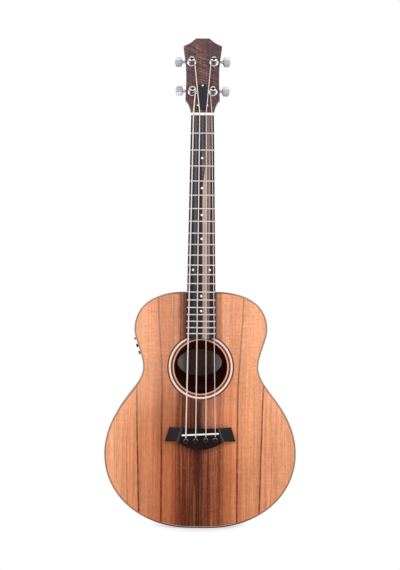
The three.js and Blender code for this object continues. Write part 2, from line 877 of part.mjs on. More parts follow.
function neck() {
  const shaft = neckShaft().subtract(
    fromHead(block(-headWidth, headWidth, 0, 2 * headThickness, 0, headLength)),
  );
  const headWood = fromHead(plate(headOutline(), -headThickness, 0));
  const start = bodyLength + glueGap;
  const half = tenonWidth / 2;
  const tenon = block(-half, half, tenonFoot, tenonTop, bodyLength - tenonLength, start + overrun);
  const rodHalf = rodWidth / 2 + glueGap;
  let solid = shaft.add(headWood).add(tenon);
  solid = solid.subtract(
    block(-rodHalf, rodHalf, -rodTop - rodDepth - glueGap, overrun, bodyLength + rodFoot - glueGap, rodHeadEnd + glueGap),
  );
  const nutRoom = rodDepth / 2 + cutGap;
  solid = solid.subtract(
    block(
      -nutRoom,
      nutRoom,
      -rodTop - rodDepth - cutGap,
      overrun,
      rodHeadEnd - rodNutLength - cutGap,
      rodHeadEnd + cutGap,
    ),
  );
  for (const place of postPlaces) {
    solid = solid.subtract(fromHead(bushingHole(place, -headThickness - overrun, overrun)));
  }
  return solid;
}

function headstockOverlay() {
  const half = coverTopWidth / 2 - coverThickness;
  let solid = plate(headOutline(), glueGap, overlayThickness);
  solid = solid.subtract(
    block(
      -half,
      half,
      -overrun,
      overrun + overlayThickness,
      coverStart + coverThickness,
      coverStart + coverLength - coverTopWidth / 2,
    ),
  );
  for (const place of postPlaces) {
    solid = solid.subtract(bushingHole(place, -overrun, overrun + overlayThickness));
  }
  return solid;
}

// The steel rod in its channel, with the nut that tightens it at the headstock end
function trussRod() {
  const half = rodWidth / 2;
  const rod = block(-half, half, -rodTop - rodDepth, -rodTop, bodyLength + rodFoot, rodHeadEnd - rodNutLength);
  const nutGeometry = new THREE.CylinderGeometry(rodDepth / 2, rodDepth / 2, rodNutLength + overrun, 6);
  nutGeometry.rotateX(Math.PI / 2);
  nutGeometry.translate(0, rodTop + rodDepth / 2, rodHeadEnd - (rodNutLength + overrun) / 2);
  const room = block(-rodDepth, rodDepth, -rodTop - 2 * rodDepth, 0, rodHeadEnd - rodNutLength, rodHeadEnd);
  return rod.add(solidFrom(nutGeometry).intersect(room));
}

function trussRodCover() {
  const wide = coverWidth / 2;
  const narrow = coverTopWidth / 2;
  const skirt = coverStart + coverLength * coverSkirtShare;
  const shape = new THREE.Shape();
  shape.moveTo(-wide, coverStart);
  shape.lineTo(wide, coverStart);
  shape.lineTo(wide, coverStart + coverThickness);
  shape.quadraticCurveTo(narrow, skirt, narrow, coverStart + coverLength / 2);
  shape.lineTo(narrow, coverStart + coverLength - narrow);
  shape.absarc(0, coverStart + coverLength - narrow, narrow, 0, Math.PI);
  shape.lineTo(-narrow, coverStart + coverLength / 2);
  shape.quadraticCurveTo(-narrow, skirt, -wide, coverStart + coverThickness);
  const low = overlayThickness + glueGap;
  return plate(shape.getPoints(6).slice(0, -1), low, low + coverThickness);
}

// Height of the fretboard's arched face, across its width
function archAt(x) {
  return fretboardThickness - (fretboardRadius - Math.sqrt(fretboardRadius ** 2 - x ** 2));
}

function fretboardRing(height) {
  const half = neckWidthAt(height) / 2;
  const ringPoints = [new THREE.Vector3(-half, -glueGap, height)];
  for (let i = 0; i <= archPoints; i++) {
    const x = half * ((2 * i) / archPoints - 1);
    ringPoints.push(new THREE.Vector3(x, -archAt(x), height));
  }
  ringPoints.push(new THREE.Vector3(half, -glueGap, height));
  return ringPoints;
}

// One fret: a crowned bar across the arched face, with its root in a slot
function fret(number) {
  const height = nutHeight - fretReach(number);
  const half = neckWidthAt(height) / 2 - fretEndInset;
  const rings = Array.from({ length: archPoints + 1 }, (_, i) => {
    const x = half * ((2 * i) / archPoints - 1);
    const seat = archAt(x);
    return [
      new THREE.Vector3(x, fretRoot - seat, height - fretWidth / 2),
      new THREE.Vector3(x, fretRoot - seat, height + fretWidth / 2),
      new THREE.Vector3(x, -seat - fretHeight, height + fretCrownWidth / 2),
      new THREE.Vector3(x, -seat - fretHeight, height - fretCrownWidth / 2),
    ];
  });
  return loft(rings, (p) => new THREE.Vector2(p.y, p.z));
}

function fretboard() {
  let solid = loft([fretboardRing(fretboardEnd), fretboardRing(nutHeight - glueGap)], (p) => new THREE.Vector2(p.x, p.y));
  for (let number = 1; number <= fretCount; number++) solid = solid.add(fret(number));
  return solid;
}

// The nut, bevelled towards the headstock, with a slot for each string
function nut() {
  const half = neckWidthAtNut / 2;
  const top = stringRiseAtNut + strings[0].radius + nutRise;
  let solid = crossPrism(
    [
      [glueGap, nutHeight],
      [top - nutBevel / 2, nutHeight],
      [top, nutHeight + nutBevel],
      [top - nutBevel, headStart - glueGap],
      [glueGap, headStart - glueGap],
    ],
    -half,
    half,
  );
  for (const string of strings) {
    const room = string.radius + cutGap;
    solid = solid.subtract(
      block(
        string.atNut - room,
        string.atNut + room,
        stringRiseAtNut - cutGap,
        top + overrun,
        nutHeight - overrun,
        headStart + overrun,
      ),
    );
  }
  return solid;
}

// The bridge seen from the front
function bridgeOutline() {
  const top = bridgeMiddleHeight + bridgeHalfRise;
  const foot = bridgeMiddleHeight - bridgeWingDrop;
  const block2 = bridgeFootBlockWidth / 2;
  const right = [
    ...bellyShares
      .map(([x, z]) => [block2 * x, foot - (bridgeBellyDrop - bridgeWingDrop) * z])
      .reverse(),
    [block2, foot],
    [bridgeFootWidth / 2, foot],
    [bridgeTopWidth / 2, top],
    [bridgeTopBlockWidth / 2, top - bridgeTopHollow / 2],
  ];
  const left = right.slice(1).map(([x, z]) => [-x, z]).reverse();
  return [...right, [0, top - bridgeTopHollow], ...left].map(([x, z]) => new THREE.Vector2(x, z));
}

// Heights across the bridge: thin wings, a facet up to the thick middle block
function bridgeProfile(height) {
  const top = bridgeMiddleHeight + bridgeHalfRise;
  const foot = bridgeMiddleHeight - bridgeBellyDrop;
  const share = (top - height) / (top - foot);
  const inner = bridgeTopBlockWidth / 2 + ((bridgeFootBlockWidth - bridgeTopBlockWidth) / 2) * share;
  const outer = bridgeFootWidth / 2 + overrun;
  const right = [
    [outer, glueGap],
    [outer, bridgeWingThickness],
    [inner + bridgeFacetWidth, bridgeShoulderThickness],
    [inner, bridgeThickness],
  ];
  const left = right.map(([x, rise]) => [-x, rise]).reverse();
  return [...right, ...left].map(([x, rise]) => new THREE.Vector3(x, -rise, height));
}

function saddleBar(length, thickness, low, high) {
  return bar(thickness, length, low, high, 0, 0, 0);
}

function slanted(solid) {
  return solid.rotate([0, -saddleSlant, 0]).translate([0, 0, saddleHeight]);
}

const saddleTop = stringRiseAtSaddle - cutGap;

function bridge() {
  const top = bridgeMiddleHeight + bridgeHalfRise + overrun;
  const foot = bridgeMiddleHeight - bridgeBellyDrop - overrun;
  let solid = loft([bridgeProfile(foot), bridgeProfile(top)], (p) => new THREE.Vector2(p.x, p.y));
  solid = solid.intersect(plate(bridgeOutline(), 0, bridgeThickness + overrun));
  const slot = saddleBar(
    saddleLength + 2 * cutGap,
    saddleThickness + 2 * glueGap,
    bridgeThickness - saddleSlotDepth - glueGap,
    bridgeThickness + overrun,
  );
  solid = solid.subtract(slanted(slot));
  for (const string of strings) solid = solid.subtract(pinHole(string, -overrun, bridgeThickness + overrun));
  return solid;
}

// The saddle, rounded along its top
function saddle() {
  const half = saddleThickness / 2;
  const low = bridgeThickness - saddleSlotDepth;
  const points = [[low, -half]];
  for (let i = 0; i <= 4; i++) {
    const angle = Math.PI * (i / 4 - 0.5);
    points.push([saddleTop - half + half * Math.cos(angle), half * Math.sin(angle)]);
  }
  points.push([low, half]);
  return slanted(crossPrism(points, -saddleLength / 2, saddleLength / 2));
}

function bridgePin(string) {
  const x = string.atSaddle;
  const z = pinHeight(x);
  const seat = bridgeThickness + glueGap;
  const crown = 0.35 * pinHeadHeight;
  const pin = turned([
    [0, seat - pinLength],
    [pinTipRadius, seat - pinLength],
    [pinShankRadius, seat],
    [pinHeadRadius * 0.94, seat],
    [pinHeadRadius, seat + crown],
    [pinHeadRadius * 0.8, seat + pinHeadHeight * 0.8],
    [pinHeadRadius * 0.4, seat + pinHeadHeight],
    [0, seat + pinHeadHeight],
  ]).translate([x, 0, z]);
  const half = string.radius + cutGap;
  const near = z + pinShankRadius;
  return pin.subtract(block(x - half, x + half, seat - pinLength, seat + pinHeadHeight + overrun, near, near + pinHeadRadius));
}

// The frame of one machine, from its post on the headstock's face
function postCentre(index) {
  const place = postPlaces[index];
  return new THREE.Vector2(place.side * place.out, place.up);
}

function windingRadius(index) {
  return postWaistRadius + cutGap + strings[index].radius;
}

function windingPitch(index) {
  return 2 * strings[index].radius + windingGap;
}

// Height of the lowest turn's middle over the wood of the headstock
function windingStart(index) {
  return windingFloor + strings[index].radius + cutGap;
}

const headInverse = head.matrix.clone().invert();

// Where the string leaves the nut, in the headstock's frame
function nutExit(index) {
  const string = strings[index];
  return new THREE.Vector3(string.atNut, -(stringRiseAtNut + string.radius), headStart).applyMatrix4(headInverse);
}

// The point where a line from the nut touches the round of the winding, on the inner side of the post
function tangentPoint(index) {
  const centre = postCentre(index);
  const exit = nutExit(index);
  const from = new THREE.Vector2(exit.x, exit.z);
  const gap = centre.clone().sub(from);
  const distance = gap.length();
  const radius = windingRadius(index);
  const bearing = Math.atan2(gap.y, gap.x);
  const lean = Math.asin(radius / distance) * postPlaces[index].side;
  const reach = Math.sqrt(distance ** 2 - radius ** 2);
  return new THREE.Vector2(from.x + reach * Math.cos(bearing + lean), from.y + reach * Math.sin(bearing + lean));
}

// One string: up from its ball under the bridge plate, over the saddle and the nut, to just short of its winding
function stringRoute(index) {
  const string = strings[index];
  const pin = pinHeight(string.atSaddle);
  const well = pin + pinShankRadius + cutGap + string.radius;
  const under = braceTop - bridgePlateThickness - cutGap;
  const saddlePlace = saddleHeight + slantRise(string.atSaddle);
  const overSaddle = stringRiseAtSaddle + string.radius;
  const overNut = stringRiseAtNut + string.radius;
  const touch = tangentPoint(index);
  const end = new THREE.Vector3(touch.x, -windingStart(index), touch.y);
  const exit = nutExit(index);
  const swept = Math.hypot(windingRadius(index) + string.radius, 2 * string.radius) + cutGap;
  const inner = windingRadius(index) - string.radius;
  const away = Math.sqrt(swept ** 2 - inner ** 2) + cutGap;
  const toNut = exit.clone().sub(end).normalize();
  end.addScaledVector(toNut, away);
  const x = string.atSaddle;
  return [
    new THREE.Vector3(x, -under, well),
    new THREE.Vector3(x, -(bridgeThickness + string.radius / 2), well),
    new THREE.Vector3(x, -(overSaddle - saddleThickness / 3), saddlePlace - saddleThickness * 0.8),
    new THREE.Vector3(x, -overSaddle, saddlePlace),
    new THREE.Vector3(string.atNut, -overNut, nutHeight + nutBevel),
    new THREE.Vector3(exit.x, exit.y, exit.z).applyMatrix4(head.matrix),
    end.applyMatrix4(head.matrix),
  ];
}

function guitarString(index) {
  const string = strings[index];
  const route = stringRoute(index);
  const wire = tube(route, string.radius, stringSides, () => new THREE.Vector3(1, 0, 0));
  const foot = route[0];
  const ballPlace = pinHeight(foot.x) + pinShankRadius + cutGap + ballRadius;
  const ball = peg(ballRadius, -foot.y - ballHeight, -foot.y + glueGap, foot.x, ballPlace);
  return wire.add(ball);
}

// The turns of one string round its post, with straight ends one diameter long
function windingRoute(index) {
  const { side } = postPlaces[index];
  const centre = postCentre(index);
  const touch = tangentPoint(index);
  const radius = windingRadius(index);
  const start = Math.atan2(touch.y - centre.y, touch.x - centre.x);
  const pitch = windingPitch(index);
  const base = windingStart(index);
  const steps = Math.round(windingTurns * windingSteps);
  const points = [];
  for (let i = 0; i <= steps; i++) {
    const turns = i / windingSteps;
    const angle = start - side * 2 * Math.PI * turns;
    points.push(
      new THREE.Vector3(
        centre.x + radius * Math.cos(angle),
        -(base + pitch * turns),
        centre.y + radius * Math.sin(angle),
      ),
    );
  }
  const straight = 2 * strings[index].radius;
  const lead = (from, to) => from.clone().addScaledVector(from.clone().sub(to).normalize(), straight);
  const first = lead(points[0], points[1]);
  const last = lead(points[steps], points[steps - 1]);
  return [first, ...points, last];
}

// The least gap between two stretches of the winding that aren't next to each other
function leastGap(index, points) {
  let least = Infinity;
  const apart = Math.round(windingSteps / 2);
  for (let i = 0; i < points.length; i++) {
    for (let k = i + apart; k < points.length; k++) {
      least = Math.min(least, points[i].distanceTo(points[k]));
    }
  }
  return least - 2 * strings[index].radius;
}

function stringWinding(index) {
  const points = windingRoute(index);
  const gap = leastGap(index, points);
  const verdict = gap > leastWindingGap ? "clear" : "too close";
  console.log(`winding ${index + 1}: least gap to itself ${gap.toFixed(2)} mm, ${verdict}`);
  const centre = postCentre(index);
  const { radius } = strings[index];
  const axis = new THREE.Vector3(0, 1, 0);
  return tube(points, radius, windingSides, () => axis).translate([-centre.x, 0, -centre.y]);
}

// The post: gear at its foot, collar, waist for the string, and a slotted, bored cap
function tunerPost() {
  const gearLow = -headThickness - shaftDepth - gearThickness / 2;
  const gearHigh = gearLow + gearThickness;
  const collar = faceOfHead + bushingFlangeHeight + glueGap + cutGap;
  const waistLow = windingFloor;
  const waistHigh = waistLow + postWaistHeight;
  const top = waistHigh + postCapHeight;
  const innerRadius = bushingRadius - bushingWall;
  const shank = Math.min(postRadius, innerRadius) - cutGap;
  let solid = turned([
    [0, gearLow],
    [shank, gearLow],
    [shank, collar],
    [postRadius, collar],
    [postRadius, waistLow],
    [postWaistRadius, waistLow + cutGap],
    [postWaistRadius, waistHigh - cutGap],
    [postRadius, waistHigh],
    [postRadius, top - postChamfer],
    [postRadius - postChamfer, top],
    [0, top],
  ]);
  const teeth = [];
  for (let i = 0; i < gearTeeth * 2; i++) {
    const angle = (Math.PI * (i + 0.5)) / gearTeeth;
    const radius = i % 2 ? gearRootRadius : gearRadius;
    teeth.push(new THREE.Vector2(radius * Math.cos(angle), radius * Math.sin(angle)));
  }
  solid = solid.add(plate(teeth, gearLow, gearHigh));
  solid = solid.subtract(peg(postBoreRadius, top - postBoreDepth, top + overrun, 0, 0));
  const half = postSlotWidth / 2;
  return solid.subtract(block(-2 * postRadius, 2 * postRadius, top - postSlotDepth, top + overrun, -half, half));
}

function tunerBushing() {
  const bore = bushingRadius - bushingWall;
  const low = faceOfHead + glueGap;
  const top = low + bushingFlangeHeight;
  const foot = faceOfHead - bushingDepth;
  return turned([
    [bore, foot],
    [bushingRadius, foot],
    [bushingRadius, low],
    [bushingFlangeRadius, low],
    [bushingFlangeRadius, top - bushingChamferHeight],
    [bushingFlangeRadius - bushingChamferWidth, top],
    [bore, top],
    [bore, foot],
  ], roundSides);
}

function housingOutline(inset) {
  const half = housingWidth / 2 - inset;
  const top = housingRise - inset;
  const bottom = -housingDrop + inset;
  const corner = housingBevel * 3 - inset / 2;
  return [
    [half, bottom + corner],
    [half, top - corner],
    [half - corner, top],
    [-half + corner, top],
    [-half, top - corner],
    [-half, bottom + corner],
    [-half + corner, bottom],
    [half - corner, bottom],
  ].map(([x, z]) => new THREE.Vector2(x, z));
}

// The cover of the gear: a bevelled box, open towards the wood, with a hole for the shaft
function tunerHousing(direction) {
  const inner = -headThickness - glueGap;
  const outer = inner - housingDepth;
  const levels = [
    [outer, housingBevel],
    [outer + housingBevel, 0],
    [inner, 0],
  ];
  const rings = levels.map(([height, inset]) =>
    housingOutline(inset).map((p) => new THREE.Vector3(p.x, -height, p.y)),
  );
  const hole = new THREE.CylinderGeometry(shaftRadius + cutGap, shaftRadius + cutGap, housingWidth, smallSides);
  hole.rotateZ(Math.PI / 2);
  hole.translate((direction * housingWidth) / 2, headThickness + shaftDepth, wormOffset);
  return loft(rings, (p) => new THREE.Vector2(p.x, p.z))
    .subtract(plate(housingOutline(housingWall), outer + housingWall, overrun))
    .subtract(solidFrom(hole));
}

// The button with its shaft: worm inside the housing, collar outside it, six-sided button at the end
function tunerButton(direction) {
  const ridges = [];
  for (let i = 0; i < wormRidges * 2; i++) {
    const share = (i + 0.5) / (wormRidges * 2);
    ridges.push([i % 2 ? wormRadius : wormRootRadius, -wormReach + 2 * wormReach * share]);
  }
  const collarEdge = collarLength / 2;
  const profile = [
    [0, -wormReach],
    [wormRootRadius, -wormReach],
    ...ridges,
    [wormRootRadius, wormReach],
    [shaftRadius, wormReach],
    [shaftRadius, collarOut - collarEdge],
    [collarRadius * 0.85, collarOut - collarEdge],
    [collarRadius, collarOut],
    [collarRadius * 0.85, collarOut + collarEdge],
    [shaftRadius, collarOut + collarEdge],
    [shaftRadius, buttonOut],
    [0, buttonOut],
  ];
  const lathe = new THREE.LatheGeometry(profile.map(([r, x]) => new THREE.Vector2(r, x)), smallSides);
  lathe.rotateZ(-Math.PI / 2);
  const solid = solidFrom(lathe).add(buttonBlock().translate([buttonOut, 0, 0]));
  return direction > 0 ? solid : solid.mirror([1, 0, 0]);
}

function buttonOutline(inset) {
  const wide = buttonWidth / 2 - inset;
  const narrow = buttonEndWidth / 2 - inset;
  const end = buttonLength / 2 - inset;
  const shoulder = (buttonLength / 2) * buttonShoulderShare;
  return [
    [narrow, -end],
    [wide, -shoulder],
    [wide, shoulder],
    [narrow, end],
    [-narrow, end],
    [-wide, shoulder],
    [-wide, -shoulder],
    [-narrow, -end],
  ];
}

function buttonBlock() {
  const half = buttonThickness / 2;
  const levels = [
    [-half, buttonBevel],
    [-half + buttonBevel, 0],
    [half - buttonBevel, 0],
    [half, buttonBevel],
  ];
  const rings = levels.map(([y, inset]) => buttonOutline(inset).map(([x, z]) => new THREE.Vector3(x, y, z)));
  return loft(rings, (p) => new THREE.Vector2(p.x, p.z));
}

// Where the bass side runs at a height, and how far it leans there
function sideFrame(height, depth) {
  const x = halfWidthAt(height, 0);
  const step = controlDistance;
  const lean = Math.atan2(halfWidthAt(height + step, 0) - halfWidthAt(height - step, 0), 2 * step);
  const frame = new THREE.Group();
  frame.position.set(-x, depth, height);
  frame.rotation.y = -lean;
  frame.updateMatrix();
  return frame;
}

// A turned piece that points out of the bass side: radius and distance out of the side
function sideTurned(profile, sides = smallSides) {
  const geometry = new THREE.LatheGeometry(profile.map(([r, out]) => new THREE.Vector2(r, out)), sides);
  return solidFrom(geometry.rotateZ(Math.PI / 2));
}

const panelFrame = sideFrame(upperBoutHeight - panelDrop, panelDepth);
const jackFrame = sideFrame(lowerBoutHeight - jackDrop, jackDepth);
const controls = [
  { name: "tuner_switch", along: controlDistance, radius: switchRadius },
  { name: "volume_knob", along: 0, radius: knobRadius },
  { name: "tone_knob", along: -controlDistance, radius: knobRadius },
];

// The room that the whole body takes up, seen from a frame on its side
function bodyFrom(frame) {
  const blank = plate(rim(-cutGap), deepest - overrun, overrun);
  return blank.transform(frame.matrix.clone().invert().elements);
}

// The preamp: a panel that follows the curve of the side, the case behind it, and a hole for each control
function preampPanel() {
  const front = panelRise;
  const half = panelLength / 2;
  const cover = block(-front, overrun, -panelWidth / 2, panelWidth / 2, -half, half);
  let solid = cover.subtract(bodyFrom(panelFrame));
  const caseHalf = preampLength / 2;
  solid = solid.add(
    block(-front / 2, preampReach, -preampWidth / 2, preampWidth / 2, -caseHalf, caseHalf),
  );
  for (const control of controls) {
    const hole = sideTurned([
      [0, front - knobRootDepth - cutGap - switchTravelDepth],
      [knobStemRadius + cutGap, front - knobRootDepth - cutGap - switchTravelDepth],
      [knobStemRadius + cutGap, front + overrun],
      [0, front + overrun],
    ]);
    solid = solid.subtract(hole.translate([0, 0, control.along]));
  }
  return solid;
}

// The room in the side for the preamp's case and for the jack
function sideOpenings() {
  const caseHalf = preampLength / 2 + cutGap;
  const widthHalf = preampWidth / 2 + cutGap;
  const forCase = block(-preampReach, preampReach, -widthHalf, widthHalf, -caseHalf, caseHalf);
  const forJack = sideTurned([
    [0, -preampReach],
    [jackBodyRadius + cutGap, -preampReach],
    [jackBodyRadius + cutGap, preampReach],
    [0, preampReach],
  ]);
  return forCase.transform(panelFrame.matrix.elements).add(forJack.transform(jackFrame.matrix.elements));
}

function controlKnob(control) {
  const root = panelRise - knobRootDepth;
  const stem = panelRise + knobStemHeight;
  const top = stem + knobHeight;
  const edge = 0.5 * (control.radius - knobStemRadius);
  return sideTurned([
    [0, root],
    [knobStemRadius, root],
    [knobStemRadius, stem],
    [control.radius, stem],
    [control.radius, top - edge],
    [control.radius - edge, top],
    [0, top],
  ]).translate([0, 0, control.along]);
}

// The jack: a round plate on the side with the barrel of the socket behind it
function outputJack() {
  const front = jackRise;
  const foot = front - jackBodyLength;
  const cover = sideTurned(
    [
      [0, -overrun],
      [jackPlateRadius, -overrun],
      [jackPlateRadius, front - jackBevel / 2],
      [jackPlateRadius - jackBevel, front],
      [0, front],
    ],
    roundSides,
  ).subtract(bodyFrom(jackFrame));
  const barrel = sideTurned([
    [0, foot],
    [jackBodyRadius, foot],
    [jackBodyRadius, front / 2],
    [0, front / 2],
  ]);
  const bore = sideTurned([
    [0, front - jackBoreDepth],
    [jackBoreRadius, front - jackBoreDepth],
    [jackBoreRadius, front + overrun],
    [0, front + overrun],
  ]);
  return cover.add(barrel).subtract(bore);
}

// Sound box
add(instrument, "soundboard", soundboard(), "koa");
add(instrument, "rosette", ring(rosetteOuterRadius, rosetteInnerRadius, -rosetteThickness, 0), "shell");
add(instrument, "back_plate", backPlate(), "koa");
add(instrument, "side_bass", side(-1).subtract(sideOpenings()), "koa");
add(instrument, "side_treble", side(1), "koa");
add(instrument, "end_graft", endGraft(), "ebony");
add(instrument, "front_binding", frontBinding(), "binding");
add(instrument, "back_binding", backBinding(), "binding");
add(instrument, "neck_block", neckBlock(), "spruce");
add(instrument, "tail_block", tailBlock(), "spruce");
add(instrument, "front_lining", lining(frontLiningZone), "spruce");
add(instrument, "back_lining", lining(backLiningZone), "spruce");
add(instrument, "cross_brace_over", crossBrace(1, "inner"), "spruce");
add(instrument, "cross_brace_under", crossBrace(-1, "outer"), "spruce");
add(instrument, "transverse_brace", transverseBrace(), "spruce");
add(instrument, "tone_bar", toneBar(), "spruce");
add(instrument, "bridge_plate", bridgePlate(), "darkWood");
add(instrument, "back_brace_1", backBrace(lowerBoutHeight - lowerBackBraceDrop), "spruce");
add(instrument, "back_brace_2", backBrace(waistHeight - upperBackBraceDrop), "spruce");

// Neck
add(instrument, "neck", neck(), "neckWood");
add(instrument, "truss_rod", trussRod(), "steel");
add(instrument, "fretboard", fretboard(), "ebony");
add(instrument, "nut", nut(), "bone");
add(head, "headstock_overlay", headstockOverlay(), "darkWood");
add(head, "truss_rod_cover", trussRodCover(), "blackPlastic");

// Bridge
add(instrument, "bridge", bridge(), "ebony");
add(instrument, "saddle", saddle(), "bone");

strings.forEach((string, i) => {
  const { side: hand, out, up } = postPlaces[i];
  const number = i + 1;
  add(instrument, `bridge_pin_${number}`, bridgePin(string), "ebony");
  add(instrument, `string_${number}`, guitarString(i), "bronze");
  const machine = new THREE.Group(); // its z axis runs to the tip, its origin is the post's axis
  machine.position.set(hand * out, 0, up);
  head.add(machine);
  add(machine, `string_winding_${number}`, stringWinding(i), "bronze");
  add(machine, `tuner_post_${number}`, tunerPost(), "chrome");
  add(machine, `tuner_bushing_${number}`, tunerBushing(), "chrome");
  add(machine, `tuner_housing_${number}`, tunerHousing(hand), "chrome");
  const button = add(machine, `tuner_button_${number}`, tunerButton(hand), "chrome");
  button.position.set(0, headThickness + shaftDepth, wormOffset);
});

// Controls
instrument.add(panelFrame, jackFrame);
add(panelFrame, "preamp_panel", preampPanel(), "blackPlastic");
for (const control of controls) add(panelFrame, control.name, controlKnob(control), "blackPlastic");
add(jackFrame, "output_jack", outputJack(), "blackPlastic");

export default root;
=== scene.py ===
import math
import bpy
import numpy as np
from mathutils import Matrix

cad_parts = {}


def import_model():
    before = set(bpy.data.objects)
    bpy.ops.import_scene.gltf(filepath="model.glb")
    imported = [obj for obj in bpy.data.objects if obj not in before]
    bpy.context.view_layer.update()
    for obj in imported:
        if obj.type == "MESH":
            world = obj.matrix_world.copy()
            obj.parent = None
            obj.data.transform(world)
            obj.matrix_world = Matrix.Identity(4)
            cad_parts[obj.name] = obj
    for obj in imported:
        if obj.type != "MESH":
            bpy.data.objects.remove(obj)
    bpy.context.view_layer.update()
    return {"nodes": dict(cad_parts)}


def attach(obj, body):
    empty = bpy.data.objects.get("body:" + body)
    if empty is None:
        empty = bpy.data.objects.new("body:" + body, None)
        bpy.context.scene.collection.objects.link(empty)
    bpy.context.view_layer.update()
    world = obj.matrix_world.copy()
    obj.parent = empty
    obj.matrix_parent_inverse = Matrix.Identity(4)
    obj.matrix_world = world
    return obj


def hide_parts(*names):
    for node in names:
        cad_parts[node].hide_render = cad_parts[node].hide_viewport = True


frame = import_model()
print("model loaded:", len(frame["nodes"]), "nodes")

# Sizes in millimetres, the same as the model's. x is across, h in front of the soundboard, z up the neck
model = dict(
    frontFace=-52.0, lowerBout=(180.0, 139.0), flank=(147.5, 232.0), flankLean=35.5, waist=(108.25, 302.5),
    upperBout=(125.0, 372.0), length=443.0, tailHalf=18.0, shoulderHalf=32.0, tailDepth=104.0,
    shoulderDepth=90.0, crown=6.0, crownPower=4, side=2.4, skin=3.0, bindingDepth=6.0, scale=597.0,
    frets=20, jointFret=14, overhang=9.5, compensation=0.6, nut=4.8, glue=0.1, tilt=math.radians(15.0),
)
fretPlace = lambda n: model["scale"] * (1 - 2 ** (-np.asarray(n, float) / 12))
nutPlace = float(model["length"] + fretPlace(model["jointFret"]))
headPlace = nutPlace + model["nut"]
boardEnd = float(nutPlace - fretPlace(model["frets"]) - model["overhang"])
saddlePlace = nutPlace - model["scale"] - model["compensation"]
# diameter, place across at the nut and at the saddle; then the heights of their undersides there
strings = [dict(radius=d / 2, nut=nut, saddle=saddle) for d, nut, saddle in (
    (2.5, -17.0, -26.9), (2.0, -5.4, -8.5), (1.6, 6.9, 10.6), (1.2, 17.3, 28.0))]
overNut, overSaddle = 8.6, 12.8
posts = [(-1, 19.3, 42.0), (-1, 21.1, 102.4), (1, 21.1, 102.4), (1, 19.3, 42.0)]  # side, out, up


# How surfaces are made: arrays of points and of faces

def world(x, h, z):  # millimetres on the instrument to metres in the row's frame
    x, h, z = np.broadcast_arrays(x, h, z)
    return np.stack([x, model["frontFace"] - h, z], -1) / 1000


def onHead(x, f, u):  # the same on the headstock: f is in front of its wood, u runs to the tip
    c, s = math.cos(model["tilt"]), math.sin(model["tilt"])
    x, f, u = np.broadcast_arrays(x, f, u)
    return np.stack([x, model["frontFace"] - f * c + u * s, headPlace + f * s + u * c], -1) / 1000


def headAt(across, up):  # onHead, with its zero moved to a place on the headstock
    return lambda x, f, u: onHead(x + across, f, u + up)


def turnShares(sides):  # angles round a full turn
    return np.arange(sides) / sides * 2 * math.pi


def mirrored(right):  # a closed loop from its right half
    right = np.asarray(right, float)
    return np.concatenate([right, right[::-1] * [-1, 1]])


def runLengths(path):  # the distance along a path at each of its points
    return np.concatenate([[0], np.cumsum(np.linalg.norm(np.diff(path, axis=0), axis=1))])


def gridFaces(rows, columns, closeRows=False, closeColumns=False):  # four corners of each cell, row by row
    r = np.arange(rows if closeRows else rows - 1)[:, None]
    c = np.arange(columns if closeColumns else columns - 1)[None, :]
    r2, c2 = (r + 1) % rows, (c + 1) % columns
    low, high = r * columns, r2 * columns
    return np.stack([low + c, low + c2, high + c2, high + c], -1).reshape(-1, 4)


def fanFaces(count, hub, first):  # triangles from one hub point to each side of a loop
    k = np.arange(count)
    return np.stack([np.full(count, hub), first + k, first + (k + 1) % count], -1)


def cappedFaces(rows, columns, first=0):  # a closed strip of loops with a fan at each end; two hubs follow it
    hub = first + rows * columns
    return [gridFaces(rows, columns, closeColumns=True) + first, fanFaces(columns, hub, first)[:, ::-1],
            fanFaces(columns, hub + 1, hub - columns)]


def spineFaces(count, first):  # strips across a loop whose left half mirrors its right half
    i = np.arange(count // 2 - 1)
    return np.stack([first + i, first + i + 1, first + count - 2 - i, first + count - 1 - i], -1)


def stripFaces(low, high):  # from one loop of point numbers to another
    return np.stack([low, np.roll(low, -1), np.roll(high, -1), high], -1)


def borderOf(rows, columns):  # the point numbers round the edge of a grid
    return np.concatenate([np.arange(columns), np.arange(1, rows) * columns + columns - 1,
                           rows * columns - 2 - np.arange(columns - 1), np.arange(rows - 2, 0, -1) * columns])


def newObject(name, data):
    made = bpy.data.objects.new(name, data)
    bpy.context.scene.collection.objects.link(made)
    return made


def newMesh(name, points, faces, material):
    mesh = bpy.data.meshes.new(name)
    mesh.from_pydata(points.tolist(), [], [row for f in faces for row in f.tolist()])
    mesh.materials.append(material)
    mesh.shade_smooth()
    return mesh


def addPiece(name, points, faces, finish, *stands, body="guitar", slot=None, sharp=38, uv=None, period=0):
    # A mesh from an array of points and arrays of faces, turned to point outwards by the sign of its volume
    points = np.asarray(points, float).reshape(-1, 3)
    faces = [np.asarray(f) for f in (faces if isinstance(faces, list) else [faces])]
    volume = sum(
        np.einsum("ij,ij->i", points[f[:, 0]], np.cross(points[f[:, k]], points[f[:, k + 1]])).sum()
        for f in faces for k in range(1, f.shape[1] - 1)
    )
    if volume < 0:
        faces = [f[:, ::-1] for f in faces]
    material, usualSlot = finishes[finish]
    mesh = newMesh(name, points, faces, material)
    if uv is not None:
        corners = np.concatenate([np.asarray(uv).reshape(-1, 2)[f] for f in faces if f.shape[1] == 4])
        if period:  # the last column of a closed strip runs on instead of jumping back
            u = corners[:, :, 0]
            u[u < u.max(1, keepdims=True) - period / 2] += period
        flat = np.zeros((len(mesh.loops), 2))
        flat[: corners.shape[0] * 4] = corners.reshape(-1, 2)
        mesh.uv_layers.new(name="along").data.foreach_set("uv", flat.ravel().astype(np.float32))
    mesh.set_sharp_from_angle(angle=math.radians(sharp))
    mesh.validate()
    piece = newObject(name, mesh)
    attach(piece, body)
    slot or usualSlot
    if stands:
        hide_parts(*stands)


